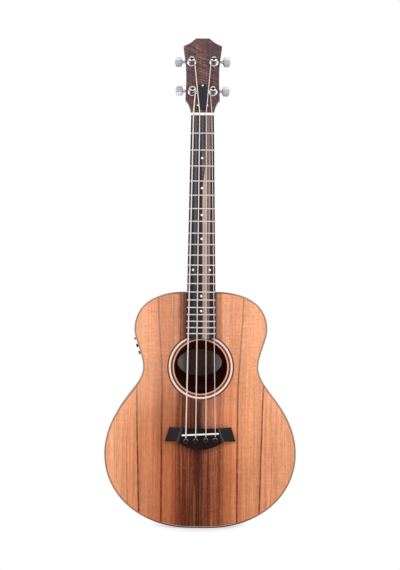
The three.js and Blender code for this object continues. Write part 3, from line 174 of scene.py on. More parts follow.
def withHubs(points):  # rows of closed sections, then the middle of the first one and of the last one
    return np.concatenate([points.reshape(-1, 3), points[:1].mean(1), points[-1:].mean(1)])


def barPiece(name, points, finish, *stands, **more):  # closed sections in rows, closed by a fan at both ends
    addPiece(name, withHubs(points), cappedFaces(*points.shape[:2]), finish, *stands, **more)


def offsetLoop(loop, distance):  # a closed loop moved inwards, each corner along its mitre
    ahead = np.roll(loop, -1, 0) - loop
    ahead /= np.maximum(np.linalg.norm(ahead, axis=1, keepdims=True), 1e-9)
    normal = np.stack([-ahead[:, 1], ahead[:, 0]], -1)
    mitre = normal + np.roll(normal, 1, 0)
    mitre /= np.maximum((mitre * normal).sum(1, keepdims=True), 0.5)
    return loop + mitre * distance


def slabPiece(name, loop, levels, place, finish, *stands, **more):
    # A plate: the loop repeated at pairs of (inset, height), closed across at both ends
    rows = []
    for inset, height in levels:
        across, up = offsetLoop(loop, inset).T
        rows.append(place(across, height, up))
    count = len(loop)
    faces = [gridFaces(len(rows), count, closeColumns=True), spineFaces(count, 0)[:, ::-1],
             spineFaces(count, (len(rows) - 1) * count)]
    addPiece(name, np.stack(rows), faces, finish, *stands, **more)


def rounded(low, high, radius):  # levels of a plate with its front edge rounded by a quarter circle
    a = np.linspace(0, math.pi / 2, 5)
    return [(0.0, low)] + list(zip(radius * (1 - np.cos(a)), high - radius * (1 - np.sin(a))))


def roundedBox(halfWidth, low, high, corner, along=2):  # an outline with quarter rounds at its four corners
    a = np.linspace(0, math.pi / 2, 6)
    flank = np.linspace(low + corner, high - corner, along)[1:-1]
    turned = halfWidth - corner + corner * np.stack([np.sin(a), np.cos(a)])
    right = [[[0.01, low]], np.stack([turned[0], low + corner - corner * np.cos(a)], -1),
             np.stack([halfWidth + 0 * flank, flank], -1),
             np.stack([turned[1], high - corner + corner * np.sin(a)], -1), [[0.01, high]]]
    return mirrored(np.concatenate(right))


def lathePiece(name, profile, place, finish, *stands, sides=48, hollow=False, **more):
    # Pairs of (radius, height) carried round the height's axis; place turns (across, height, up) into metres.
    # A fan closes each end flat, and a hollow one closes by running from its last pair to its first
    profile, a = np.asarray(profile, float), turnShares(sides)
    radius, height = profile[:, :1], profile[:, 1:]
    points = place(radius * np.cos(a), height + 0 * a, radius * np.sin(a)).reshape(-1, 3)
    faces = gridFaces(len(profile), sides, True, True) if hollow else cappedFaces(len(profile), sides)
    if not hollow:
        points = np.concatenate([points, place(np.zeros(2), height[[0, -1], 0], np.zeros(2))])
    addPiece(name, points, faces, finish, *stands, **more)


def lineThrough(route, bend, perCorner=7, perRun=3):
    # A route of straight runs whose corners are rounded by a parabola that starts at the distance bend
    out = [route[:1]]
    for a, b, c in zip(route, route[1:], route[2:]):
        toA, toC = np.linalg.norm(a - b), np.linalg.norm(c - b)
        near = min(bend, 0.45 * toA, 0.45 * toC)
        start, end = b + (a - b) / toA * near, b + (c - b) / toC * near
        t = np.linspace(0, 1, perCorner)[:, None]
        run = np.linspace(0, 1, perRun + 1)[1:-1, None]
        out += [out[-1][-1] + run * (start - out[-1][-1]),
                (1 - t) ** 2 * start + 2 * t * (1 - t) * b + t ** 2 * end]
    return np.concatenate(out + [route[-1:]])


def tubePiece(name, path, radius, reference, finish, *stands, sides=14, **more):
    # A round carried along a path: each ring stands square to it, and a fixed direction keeps it untwisted
    along = np.gradient(path, axis=0)
    along /= np.linalg.norm(along, axis=1, keepdims=True)
    first = np.cross(np.broadcast_to(reference, along.shape), along)
    first /= np.linalg.norm(first, axis=1, keepdims=True)
    second = np.cross(along, first)
    a = turnShares(sides)[None, :, None]
    rings = path[:, None] + radius * (np.cos(a) * first[:, None] + np.sin(a) * second[:, None])
    length = runLengths(path)
    uv = np.stack(np.broadcast_arrays(np.arange(sides)[None] / sides, length[:, None]), -1)
    barPiece(name, rings, finish, *stands, uv=np.concatenate([uv.reshape(-1, 2), [[0, 0], [0, length[-1]]]]),
             period=1, sharp=50, **more)


def bodyHalf(inset, steps=60):
    # The right half of the outline: five cubic curves from the tail to the shoulder, moved inwards along
    # their normals. A curve's handles are shares of how far it goes across or up, whichever way they point
    lean = math.radians(model["flankLean"])
    out, up, back, leaning = np.array([[1, 0], [0, 1], [-1, 0], [-math.sin(lean), math.cos(lean)]])
    ends = [((model["tailHalf"], 0), out), (model["lowerBout"], up), (model["flank"], leaning),
            (model["waist"], up), (model["upperBout"], up), ((model["shoulderHalf"], model["length"]), back)]
    shares = [(0.57, 0.573), (0.412, 0.293), (0.48, 0.34), (0.3, 0.24), (0.67, 0.57)]
    t = np.linspace(0, 1, steps)[:, None]
    parts = []
    for (a, leave), (d, arrive), (leaveShare, arriveShare) in zip(ends, ends[1:], shares):
        a, d = np.array(a, float), np.array(d, float)
        reach = np.abs(d - a)
        b = a + leave * reach[int(leave[1] != 0)] * leaveShare
        c = d - arrive * reach[int(arrive[1] != 0)] * arriveShare
        point = (1 - t) ** 3 * a + 3 * (1 - t) ** 2 * t * b + 3 * (1 - t) * t ** 2 * c + t ** 3 * d
        slope = (1 - t) ** 2 * (b - a) + 2 * (1 - t) * t * (c - b) + t ** 2 * (d - c)
        slope /= np.linalg.norm(slope, axis=1, keepdims=True)
        parts.append((point + inset * np.stack([-slope[:, 1], slope[:, 0]], -1))[1 if parts else 0:])
    return np.concatenate(parts)


def bodyLoop(inset):
    return mirrored(bodyHalf(inset))


def depthAt(z):  # the edge of the back lies on a slanted plane
    return model["tailDepth"] + (model["shoulderDepth"] - model["tailDepth"]) * z / model["length"]


def crownAt(t, z):  # the back's arch: a parabola across, dying away to both ends
    along = np.maximum(0, 1 - np.abs(2 * z / model["length"] - 1) ** model["crownPower"])
    return model["crown"] * (1 - t ** 2) * along


# Finishes

class Wire:  # one value in a node tree, with Python's own arithmetic
    def __init__(self, tree, socket):
        self.tree, self.socket = tree, socket

    def maths(self, operation, *values):
        return self.tree.node("ShaderNodeMath", dict(operation=operation), dict(enumerate(values)))

    def __add__(self, other):
        return self.maths("ADD", self, other)

    def __sub__(self, other):
        return self.maths("SUBTRACT", self, other)

    def __rsub__(self, other):
        return self.maths("SUBTRACT", other, self)

    def __mul__(self, other):
        return self.maths("MULTIPLY", self, other)

    def __truediv__(self, other):
        return self.maths("DIVIDE", self, other)

    def __abs__(self):
        return self.maths("ABSOLUTE", self)

    def __neg__(self):
        return self * -1.0

    __radd__, __rmul__ = __add__, __mul__

    def least(self, other):
        return self.maths("MINIMUM", self, other)

    def most(self, other):
        return self.maths("MAXIMUM", self, other)

    def sine(self):
        return self.maths("SINE", self)

    def step(self, low, high):  # 0 below low, 1 above high, smooth between
        return self.tree.node("ShaderNodeMapRange", dict(interpolation_type="SMOOTHSTEP"),
                              {"Value": self, "From Min": low, "From Max": high})

    def line(self, centre, half, soft):  # 1 on a line of the given half width, 0 away from it
        return 1 - abs(self - centre).step(half, half + soft)


class Tree:  # a node tree: node() adds a node and feeds its inputs with wires or plain values
    def __init__(self, tree):
        self.nodes, self.links = tree.nodes, tree.links

    def feed(self, socket, value):
        if isinstance(value, Wire):
            self.links.new(value.socket, socket)
        elif hasattr(socket.default_value, "__len__") and len(socket.default_value) == 4:
            socket.default_value = (*value[:3], 1.0)
        else:
            socket.default_value = value

    def node(self, kind, settings=None, values=None, output=0):
        node = self.nodes.new(kind)
        for key, value in (settings or {}).items():
            setattr(node, key, value)
        for key, value in (values or {}).items():
            self.feed(node.inputs[key], value)
        return Wire(self, node.outputs[output])

    def split(self, vector):
        parts = self.node("ShaderNodeSeparateXYZ", None, {0: vector}).socket.node.outputs
        return [Wire(self, part) for part in parts]

    def seen(self):  # 1 for rays from the camera and off mirrors, 0 for the light that falls on things
        camera, mirror = (self.node("ShaderNodeLightPath", output=kind)
                          for kind in ("Is Camera Ray", "Is Glossy Ray"))
        return (camera + mirror).least(1.0)


class Finish(Tree):  # a material; colours are Wires, or tuples of 0 to 255 as a screen shows them
    def __init__(self, name, roughness=0.5, metallic=0.0, specular=0.3):
        self.material = bpy.data.materials.new(name)
        self.material.use_nodes = True
        super().__init__(self.material.node_tree)
        self.shader = self.nodes["Principled BSDF"]
        values = {"Roughness": roughness, "Metallic": metallic, "Specular IOR Level": specular}
        for key, value in values.items():
            self.shader.inputs[key].default_value = value

    def place(self):  # Object coordinates in millimetres: across, in front of the soundboard, up
        x, y, z = (part * 1000.0 for part in self.split(self.node("ShaderNodeTexCoord", output="Object")))
        return x, model["frontFace"] - y, z

    def along(self):  # the piece's own map: round it, and along it in metres
        return self.split(self.node("ShaderNodeUVMap", dict(uv_map="along")))[:2]

    def vector(self, x, y, z):
        return self.node("ShaderNodeCombineXYZ", None, {0: x, 1: y, 2: z})

    def noise(self, x, y, z, detail=2.0, rough=0.5):  # mostly -1 to 1
        place = self.vector(x, y, z + 0.37)  # off the noise's lattice planes, where it is flat
        values = {"Vector": place, "Scale": 1.0, "Detail": detail, "Roughness": rough}
        return self.node("ShaderNodeTexNoise", None, values) * 4.0 - 2.0

    def mix(self, factor, a, b, blend="MIX"):
        a, b = (c if isinstance(c, Wire) else tint(*c) for c in (a, b))
        settings = dict(data_type="RGBA", blend_type=blend)
        return self.node("ShaderNodeMix", settings, {0: factor, 6: a, 7: b}, output=2)

    def ramp(self, value, stops):  # stops are a place and a colour's three numbers
        made = self.node("ShaderNodeValToRGB", None, {0: value})
        elements = made.socket.node.color_ramp.elements
        while len(elements) < len(stops):
            elements.new(0.5)
        for element, (place, *rgb) in zip(elements, stops):
            element.position, element.color = place, (*tint(*rgb), 1)
        return made

    def lighten(self, colour, amount):  # a colour times e to the power of amount
        grey = amount.maths("EXPONENT", amount)
        return self.mix(1.0, colour, self.vector(grey, grey, grey), "MULTIPLY")

    def bump(self, height, strength, distance=0.0001):
        values = {"Strength": strength, "Distance": distance, "Height": height}
        self.feed(self.shader.inputs["Normal"], self.node("ShaderNodeBump", None, values))

    def done(self, colour, roughness=None):
        self.feed(self.shader.inputs["Base Color"], colour)
        if roughness is not None:
            self.feed(self.shader.inputs["Roughness"], roughness)
        return self.material


def tint(*rgb):  # a colour as a screen shows it, 0 to 255, made linear
    c = np.asarray(rgb, float) / 255
    return tuple(np.where(c <= 0.04045, c / 12.92, ((c + 0.055) / 1.055) ** 2.4).tolist())


koa = dict(
    across=[  # the front's colours from the bass edge to the treble edge, as shares of its width
        (0.0, 236, 168, 128), (0.07, 233, 161, 119), (0.14, 221, 144, 102), (0.24, 201, 125, 85),
        (0.297, 178, 102, 65), (0.336, 183, 107, 68), (0.361, 164, 89, 55), (0.381, 137, 68, 41),
        (0.4, 124, 58, 32), (0.444, 102, 45, 24), (0.461, 104, 48, 28), (0.478, 87, 37, 19),
        (0.501, 86, 36, 18), (0.517, 109, 56, 36), (0.553, 122, 62, 39), (0.571, 148, 82, 54),
        (0.608, 137, 70, 40), (0.622, 165, 94, 60), (0.65, 186, 109, 69), (0.74, 212, 137, 96),
        (0.86, 224, 150, 109), (0.93, 230, 158, 117), (1.0, 231, 160, 120)],
    heart=[  # its dark heart's stripes: place, half width, softness and how much darker or paler
        (-38.5, 1.0, 2.0, -0.25), (-35.0, 0.6, 2.0, 0.14), (-30.5, 1.0, 2.0, -0.2), (-20.0, 1.5, 2.5, -0.16),
        (-11.5, 1.2, 2.5, 0.26), (-5.0, 1.0, 2.5, -0.3), (10.5, 1.0, 2.5, 0.12), (18.0, 1.0, 2.5, -0.2),
        (25.0, 0.8, 2.2, 0.16), (29.3, 0.8, 2.0, -0.24), (33.2, 0.8, 2.0, 0.14), (37.8, 0.8, 2.0, -0.2)],
    plain=[(0.15, 112, 58, 36), (0.4, 166, 96, 62), (0.6, 192, 118, 80), (0.85, 216, 142, 100)],
    lines=(100, 33, 10), pores=(98, 48, 30), inside=((76, 38, 32), (62, 32, 27)), seam=(60, 30, 22),
)


def koaFront():
    # A top in two halves: dark heart stripes in the middle, two dark lines each side, curl across the grain.
    # Its colour is a ramp across the width, times e to the power of a sum of stripes, flecks and curl
    f = Finish("koaFront", roughness=0.45, specular=0.12)
    x, _, z = f.place()
    high = z.step(190.0, 330.0)  # 0 below the waist, 1 above it
    x = x + (1 - high) * 1.5  # the figure below the waist sits a little to the bass side
    grain = lambda across, up, seed, detail=1.0, rough=0.5: f.noise(x * across, z * up, seed, detail, rough)
    sway = f.noise(z * 0.006, x * 0.004, 3.0, detail=1.0) * 0.8
    treble = x.step(-3.0, 3.0)
    across = abs(x) + sway
    narrow = treble * z.step(240.0, 400.0) * (1 - across.step(38.0, 60.0)) * 4.5  # the heart narrows there
    base = f.ramp((x + sway + narrow) / 360.0 + 0.5, koa["across"])
    shoulder = f.mix((across + narrow * 0.5).step(26.0, 52.0),
                     f.mix(treble, (122, 64, 49), (108, 52, 38)), (208, 136, 100))
    base = f.mix(high * (1 - across.step(48.0, 60.0)), base, shoulder)  # softer beside the board
    heart = 1 - (across + narrow).step(40.0, 47.0)
    tan = 1 - heart
    named = 0.0
    for centre, half, soft, amount in koa["heart"]:
        named = (x + sway).line(centre, half, soft) * amount + named
    middle = z.step(110.0, 200.0)
    turning = x.step(-4.0, 18.0)
    # towards the hole the bass half darkens, and the treble half pales with a painted sheen
    lean = middle * heart * (turning * (0.56 - high * 0.1) - 0.5 + high * 0.12)
    wide, stripes, threads = grain(0.1, 0.0008, 6.0), grain(0.36, 0.002, 1.0), grain(0.45, 0.006, 17.0)
    fine, flecks = grain(0.26, 0.006, 5.0, 3.0, 0.65), grain(0.5, 0.08, 14.0, 3.0, 0.7)
    mottle, weave = grain(0.42, 0.36, 23.0, 1.0, 0.6), grain(0.2, 0.7, 27.0)
    hair = grain(1.4, 0.04, 9.0, 2.0, 0.7)
    bands = f.noise(across * 0.1, z * 0.0012, 12.0)
    inHeart = (named * (1 - middle * 0.4) + stripes * 0.42 + wide * 0.06 + flecks * 0.4
               + mottle * (0.34 - high * 0.2))
    inTan = fine * 0.24 + flecks * 0.15 + bands * 0.05 + mottle * 0.06 + weave * (high * 0.16 + treble * 0.06)
    colour = f.lighten(base, inHeart * heart + inTan * tan + hair * 0.14 + lean)
    # thin pale threads in the heart
    colour = f.mix(threads.step(0.25, 0.8) * heart * (1 - high) * 0.55, colour, (170, 104, 70))
    # painted sheen: the treble half of the heart paler towards the hole
    colour = f.mix(middle * heart * turning * 0.2, colour, (222, 160, 122))
    # growth rings show as thin lines: the level lines of a slow noise
    rings = (f.noise(across * 0.05, z * 0.0006, 21.0, detail=1.0) * 9.0).sine().step(0.72, 1.0)
    colour = f.lighten(colour, rings * (heart * 0.15 + 0.15) * -1.0)
    # the pair of lines that runs to the shoulders, and the pair that starts at the flanks
    wander = f.noise(z * 0.02, 5.0, 1.0) * 0.4
    broken = f.noise(z * 0.12, x * 0.01, 31.0) * 0.25 + 0.85
    fromInner = abs(x) - (z.step(250.0, 440.0) * 8.7 + 71.2)
    fromOuter = abs(x) - (z * 0.0262 + 112.2)
    innerLine = (fromInner + wander).line(0.0, 0.8, 1.6) * (1.0 - high * 0.1) * broken
    outerLine = (fromOuter + wander).line(0.0, 0.9, 1.2) * (1 - z.step(266.0, 300.0)) * broken
    second = fromOuter.line(21.0, 0.3, 1.0) * (1 - z.step(150.0, 220.0)) * 0.4
    third = (x + 51.5 + wander).line(0.0, 0.6, 1.4) * high * 0.55
    shade = fromInner.line(5.0, 4.0, 4.0) * 0.06 + fromOuter.line(-3.0, 3.0, 4.0) * 0.06
    lowSide = (x + 68.0).line(0.0, 10.0, 12.0) * z.line(200.0, 30.0, 60.0) * 0.22
    colour = f.lighten(colour, -shade - lowSide - (x + 51.0).line(0.0, 4.0, 9.0) * high * 0.14)
    colour = f.mix(innerLine.most(outerLine * 0.95).most(second).most(third), colour, koa["lines"])
    colour = f.mix((across + narrow).line(44.5, 0.4, 1.4) * (1 - high) * 0.3, colour, (96, 44, 26))
    # curl: fine bands across the grain that come and go
    patches = grain(0.012, 0.011, 7.0, 2.0).step(-0.8, 0.5) * 0.6 + high * 0.5
    curl = grain(0.045, 0.26, 2.0, 2.0, 0.6) * patches
    blotch = grain(0.016, 0.009, 11.0, 2.0)
    # paler regions: the flanks, the bass side over the waist, the treble side under it, where a painted sheen
    # lies; and the whole front painted lighter towards the neck, as light from above
    flank = across.step(90.0, 140.0)
    bass = (1 - treble) * across.step(55.0, 95.0) * z.step(205.0, 255.0) * (1 - z.step(350.0, 430.0) * 0.5)
    right = treble * tan * (1 - flank) * z.line(180.0, 40.0, 45.0)
    glow = z.line(205.0, 12.0, 50.0) * x.line(32.0, 14.0, 30.0) * 0.2 + right * 0.08 + bass * 0.07 + 0.03
    # painted light from above: the whole front lighter towards the neck
    glow = glow + z.step(60.0, 420.0) * (treble * tan * 0.06 + 0.25)
    colour = f.lighten(colour, curl * 0.17 * (1 - heart * 0.4) + blotch * 0.05 + glow)
    # painted light from above: paler towards the neck
    pale = z.step(120.0, 400.0) * (1 - heart * 0.9) * (flank * (0.2 - treble * 0.2) + treble * 0.05 + 0.23)
    colour = f.mix(pale + bass * 0.12 + right * 0.04, colour, (250, 202, 168))
    f.bump(hair, 0.2)
    return f.done(colour, hair * 0.03 + 0.45)


def koaPlain(name, direction):
    # The same wood on the back ("up") or bent round the sides ("round"); past 5 on its map it is dark inside
    f = Finish(name, roughness=0.42)
    u, v = f.along()
    x, _, z = f.place()
    if direction == "round":
        grain, run = v * 1000.0, u * 1000.0
    else:
        grain, run = abs(x) + f.noise(z * 0.006, 2.0, 3.0) * 1.5, z
    bands = f.noise(grain * 0.09, run * 0.0018, 4.0, detail=3.0, rough=0.6)
    fine = f.noise(grain * 0.8, run * 0.006, 5.0, rough=0.6)
    hair = f.noise(grain * 2.8, run * 0.018, 9.0, rough=0.7)
    curl = f.noise(grain * 0.03, run * 0.2, 2.0)
    pores = f.noise(grain * 3.0, run * 0.1, 15.0, detail=1.0).step(0.7, 1.2)
    colour = f.ramp(bands * 0.3 + 0.5, koa["plain"])
    colour = f.lighten(colour, fine * 0.09 + hair * 0.07 + curl * 0.06)
    colour = f.mix(pores * 0.35, colour, koa["pores"])
    if direction == "up":
        colour = f.mix(abs(x).line(0.0, 0.3, 0.4) * 0.8, colour, koa["seam"])
    colour = f.mix(u.step(4.9, 5.1), colour, f.lighten(f.mix(0.5, *koa["inside"]), fine * 0.1))
    f.bump(hair * 0.5 - pores, 0.25, 0.00012)
    return f.done(colour, hair * 0.03 + 0.42)


def headVeneer():
    # Dark reddish brown with slanted figure, a wave down to the right that comes and goes, and straight grain
    f = Finish("headVeneer", roughness=0.4, specular=0.25)
    x, _, z = f.place()
    warp = f.noise(x * 0.06, z * 0.04, 1.0) * 2.2
    slope = z + x * 0.4 + warp
    wave = (slope * (2 * math.pi / 5.4)).sine() * 0.4 + f.noise(x * 0.05 + 2.0, slope * 0.3, 4.0, detail=1.0)
    fade = f.noise(x * 0.06, z * 0.04, 3.0).step(-0.8, 0.2) * 0.7 + 0.3
    grain = f.noise(x * 0.3, z * 0.012, 6.0, rough=0.6)
    hair = f.noise(x * 1.1, z * 0.06, 9.0)
    speck = f.noise(x * 0.4, z * 0.4, 19.0, detail=1.0)
    middle = (x + warp).line(-6.5, 3.5, 10.0)
    low = 1 - z.step(800.0, 900.0)
    colour = f.mix(middle * 0.5, f.mix(low, (80, 55, 59), (80, 51, 51)), (98, 67, 52))
    level = z.step(880.0, 930.0) * 0.2 + x * -0.004 + 0.1  # paler to the tip and to the bass side
    colour = f.lighten(colour, wave * fade * 0.8 + grain * 0.5 + hair * 0.16 + speck * 0.2 + level)
    f.bump(hair, 0.2)
    return f.done(colour)


def neckWood():  # straight grained reddish brown with short open pores
    f = Finish("neckWood", roughness=0.5)
    x, h, z = f.place()
    grain = f.noise(x * 0.35, h * 0.35, z * 0.006, detail=3.0, rough=0.6)
    hair = f.noise(x * 2.2, h * 2.2, z * 0.03)
    pores = f.noise(x * 3.4, h * 3.4, z * 0.16, detail=1.0).step(0.6, 1.1)
    colour = f.lighten(f.mix(grain * 0.35 + 0.5, (98, 56, 38), (134, 82, 56)), hair * 0.07)
    f.bump(hair * 0.5 - pores, 0.3, 0.00015)
    return f.done(f.mix(pores * 0.5, colour, (70, 38, 26)), hair * 0.05 + 0.5)


def ebonyBoard():
    # Nearly black, with blue grey bands of painted sheen between the strings' shadows; right of the middle a
    # pale brown streak beside a grey brown one
    f = Finish("ebonyBoard", roughness=0.45, specular=0.2)
    x, _, z = f.place()
    sway = f.noise(z * 0.016, 1.0, 2.0)
    upper = z.step(640.0, 690.0)  # the pale streak ends there, towards the nut
    nearNut = z.step(690.0, 730.0)
    lower = 1 - z.step(380.0, 560.0)
    grain = f.noise(x * 0.5, z * 0.004, 6.0, rough=0.6)
    hair = f.noise(x * 1.6, z * 0.03, 9.0)
    mottle = f.noise(x * 0.6, z * 0.2, 11.0, rough=0.6)
    colour = f.mix(grain * 0.4 + 0.5, (30, 23, 25), (56, 46, 50))
    # painted sheen: blue grey bands between the strings' shadows, near the nut too
    bands = x.line(-12.0, 1.4, 2.2) * 0.8
    for centre, half, soft in ((-4.3, 0.4, 1.5), (0.6, 1.0, 1.8)):
        bands = bands.most(x.line(centre, half, soft) * nearNut * 0.8)
    colour = f.mix(bands * (1 - lower * 0.6), colour, (96, 91, 98))
    colour = f.mix(x.line(2.6, 1.8, 2.6) * upper * (1 - nearNut) * 0.7, colour, (124, 108, 106))
    greyBrown = f.mix(grain * 0.5 + 0.5, (120, 96, 90), (160, 134, 126))
    colour = f.mix((x + sway * 0.5 + nearNut * 0.8).line(12.2, 2.4, 2.0) * 0.9, colour, greyBrown)
    ridge = x.line(14.1, 0.3, 1.4) * (1 - lower * 0.8) * (1 - nearNut) * 0.7
    colour = f.mix(ridge, colour, (190, 166, 160))
    pale = f.mix(grain * 0.4 + 0.5, f.mix(lower, (172, 140, 128), (208, 164, 142)),
                 f.mix(lower, (206, 178, 166), (238, 202, 184)))
    pale = f.mix((x - lower * 1.6 + sway * 0.4).line(3.4, 0.8, 1.8) * 0.7, pale, (214, 186, 176))
    left = 1.2 + lower * 1.4 + upper * 5.0 + sway * 0.8
    streak = (x - left).step(-0.8, 1.2) * (1 - (x - 8.6 + sway * 0.4).step(-0.8, 1.2)) * (1 - nearNut * 0.9)
    colour = f.mix(streak * 0.92, colour, pale)
    colour = f.lighten(colour, hair * 0.14 + mottle * 0.12 - lower * 0.4)
    f.bump(hair, 0.25)
    return f.done(colour, hair * 0.03 + 0.45)


def ebonyBridge():
    # Black; its map passes 1 where the block's edge catches the light, and the facets lie beyond it. A
    # painted highlight runs just past that edge; the wings are painted greyer than the block, and darker
    # towards the lower edge, as light and shade
    f = Finish("ebonyBridge", roughness=0.4, specular=0.08)
    x, h, z = f.place()
    u, v = f.along()
    size = abs(u)
    grain = f.noise(x * 0.02, h * 0.5, z * 0.5, detail=3.0, rough=0.6)
    hair = f.noise(x * 0.1, h * 2.0, z * 2.6)
    wing = size.step(0.98, 1.02)
    # painted light on one wood: the wings greyer than the block
    colour = f.mix(wing, (29, 13, 14), (43, 38, 41))
    # painted highlight just past the block's edge
    colour = f.mix(size.line(1.03, 0.03, 0.12) * 0.45, colour, (96, 92, 100))
    # painted shade: the wings darker towards the lower edge
    colour = f.lighten(colour, grain * 0.25 + hair * 0.16 - wing * (1 - v) * 0.3)
    f.bump(hair, 0.25)
    return f.done(colour, hair * 0.04 + 0.4)


def spruce():  # pale wood with close rings
    f = Finish("spruce", roughness=0.75)
    x, h, z = f.place()
    rings = f.noise((x + z) * 0.03, h * 0.5, (x - z) * 0.35)
    colour = f.mix(rings * 0.35 + 0.5, (186, 148, 96), (214, 182, 130))
    return f.done(f.lighten(colour, f.noise(x, h, z) * 0.04))


def cloudy(name, dark, light, scale=0.2, roughness=0.4, bump=0.0, **more):
    # A plain colour: a blend from dark to light by a slow noise, with a fine speckle
    f = Finish(name, roughness=roughness, **more)
    x, h, z = f.place()
    cloud = f.noise(x * scale, h * scale, z * scale, detail=3.0)
    speck = f.noise(x * 3.0, h * 3.0, z * 3.0)
    if bump:
        f.bump(speck, bump)
    return f.done(f.lighten(f.mix(cloud * 0.35 + 0.5, dark, light), speck * 0.02), cloud * 0.03 + roughness)


def woundWire(name, dark, light, metallic, pitch=0.6, shade=None):
    # A string: a fine winding round the core, which is a wave along it and round it
    f = Finish(name, roughness=0.4, metallic=metallic)
    u, v = f.along()
    x, _, z = f.place()
    wave = (v * (2000.0 * math.pi / pitch) + u * (2 * math.pi)).sine()
    cloud = f.noise(u * 2.0, v * 60.0, 3.0)
    f.bump(wave, 0.25)
    colour = f.lighten(f.mix(wave * 0.5 + 0.5, dark, light), cloud * 0.05)
    if shade:  # round the posts, painted shade: dark only in front of their slots
        return f.done(f.mix(abs(abs(x) - 20.2).step(2.6, 5.0), shade, colour))
    # paler and cooler from the nut down
    cool = f.mix(wave * 0.5 + 0.5, (224, 209, 205), (246, 233, 229))
    return f.done(f.mix(z.step(770.0, 784.0), cool, colour))


def pinFinish():
    # Black, with a painted highlight: a pale ring round the head, palest in two glinting arcs above; its map
    # is turn and radius
    f = Finish("pinPlastic", roughness=0.3, specular=0.12)
    turn, radius = f.along()
    x, h, z = f.place()
    # painted highlights: two glinting arcs above, and a faint pale ring round the head
    paintedGlints = (turn * (2 * math.pi)).sine().step(0.0, 0.6) * (1 - (turn - 0.25).line(0.0, 0.02, 0.05)) * 0.75
    colour = f.mix(radius.line(4.1, 0.25, 0.5) * (paintedGlints + 0.16), (22, 17, 18), (158, 148, 150))
    return f.done(f.lighten(colour, f.noise(x, h, z) * 0.05))


def buttonFinish():
    # Satin metal in two facets that meet at a ridge; the map's first number runs up the button, ridge at 2.4
    f = Finish("buttonMetal", roughness=0.32, metallic=0.3)
    u, _ = f.along()
    x, h, z = f.place()
    # painted light from above: the upper facet lighter than the rest
    colour = f.mix(u.step(2.2, 2.8), (176, 175, 183), (232, 231, 236))
    # painted shade: a dark line along the ridge
    colour = f.mix(u.line(2.3, 0.2, 0.5) * 0.6, colour, (120, 118, 128))
    cloud = f.noise(x * 0.5, h * 0.5, z * 0.5)
    # painted shade: a little darker towards the lower end
    return f.done(f.lighten(colour, u.step(-9.0, 0.0) * 0.08 - 0.08 + cloud * 0.06))


def rimBinding():  # dark where the tail stands, beside the neck and behind the rounded front edge; the brownish grey on that edge is a painted reflection of the white surroundings
    f = Finish("rimBinding", roughness=0.5, specular=0.2)
    x, h, z = f.place()
    # painted reflection: the brownish grey of the rounded edge
    colour = f.mix(z.step(60.0, 300.0), (158, 120, 100), (168, 140, 126))
    colour = f.mix(z.step(2.0, 26.0), (52, 42, 40), colour)
    colour = f.mix(z.step(428.0, 440.0) * (1 - abs(x).step(36.0, 80.0)) * 0.8, colour, (88, 74, 74))
    colour = f.mix((h * -1.0).step(0.6, 1.6), colour, (70, 56, 50))
    return f.done(f.lighten(colour, f.noise(x * 0.3, h * 0.3, z * 0.3) * 0.08))


def rimHairline():  # pale where the tail stands, a painted highlight along the bottom edge, and near the wood's colour elsewhere
    f = Finish("rimHairline", roughness=0.4)
    x, h, z = f.place()
    # painted highlight: pale only along the bottom edge
    pale = f.mix(z.step(3.0, 12.0), (216, 196, 180), (150, 98, 70))
    return f.done(f.lighten(pale, f.noise(x * 0.3, h * 0.3, z * 0.3) * 0.05))


def labelFinish():  # plain paper, lighter to both ends where more light falls through the hole
    f = Finish("labelPaper", roughness=0.8, specular=0.1)
    x, h, z = f.place()
    ends = abs(x + 1.0).step(20.0, 41.0)
    paper = f.mix(ends * (1 - (z - 313.0).step(-4.0, 14.0) * 0.5), (124, 94, 88), (250, 234, 236))
    return f.done(f.lighten(paper, f.noise(x * 0.1, h * 0.1, z * 0.1) * 0.06))


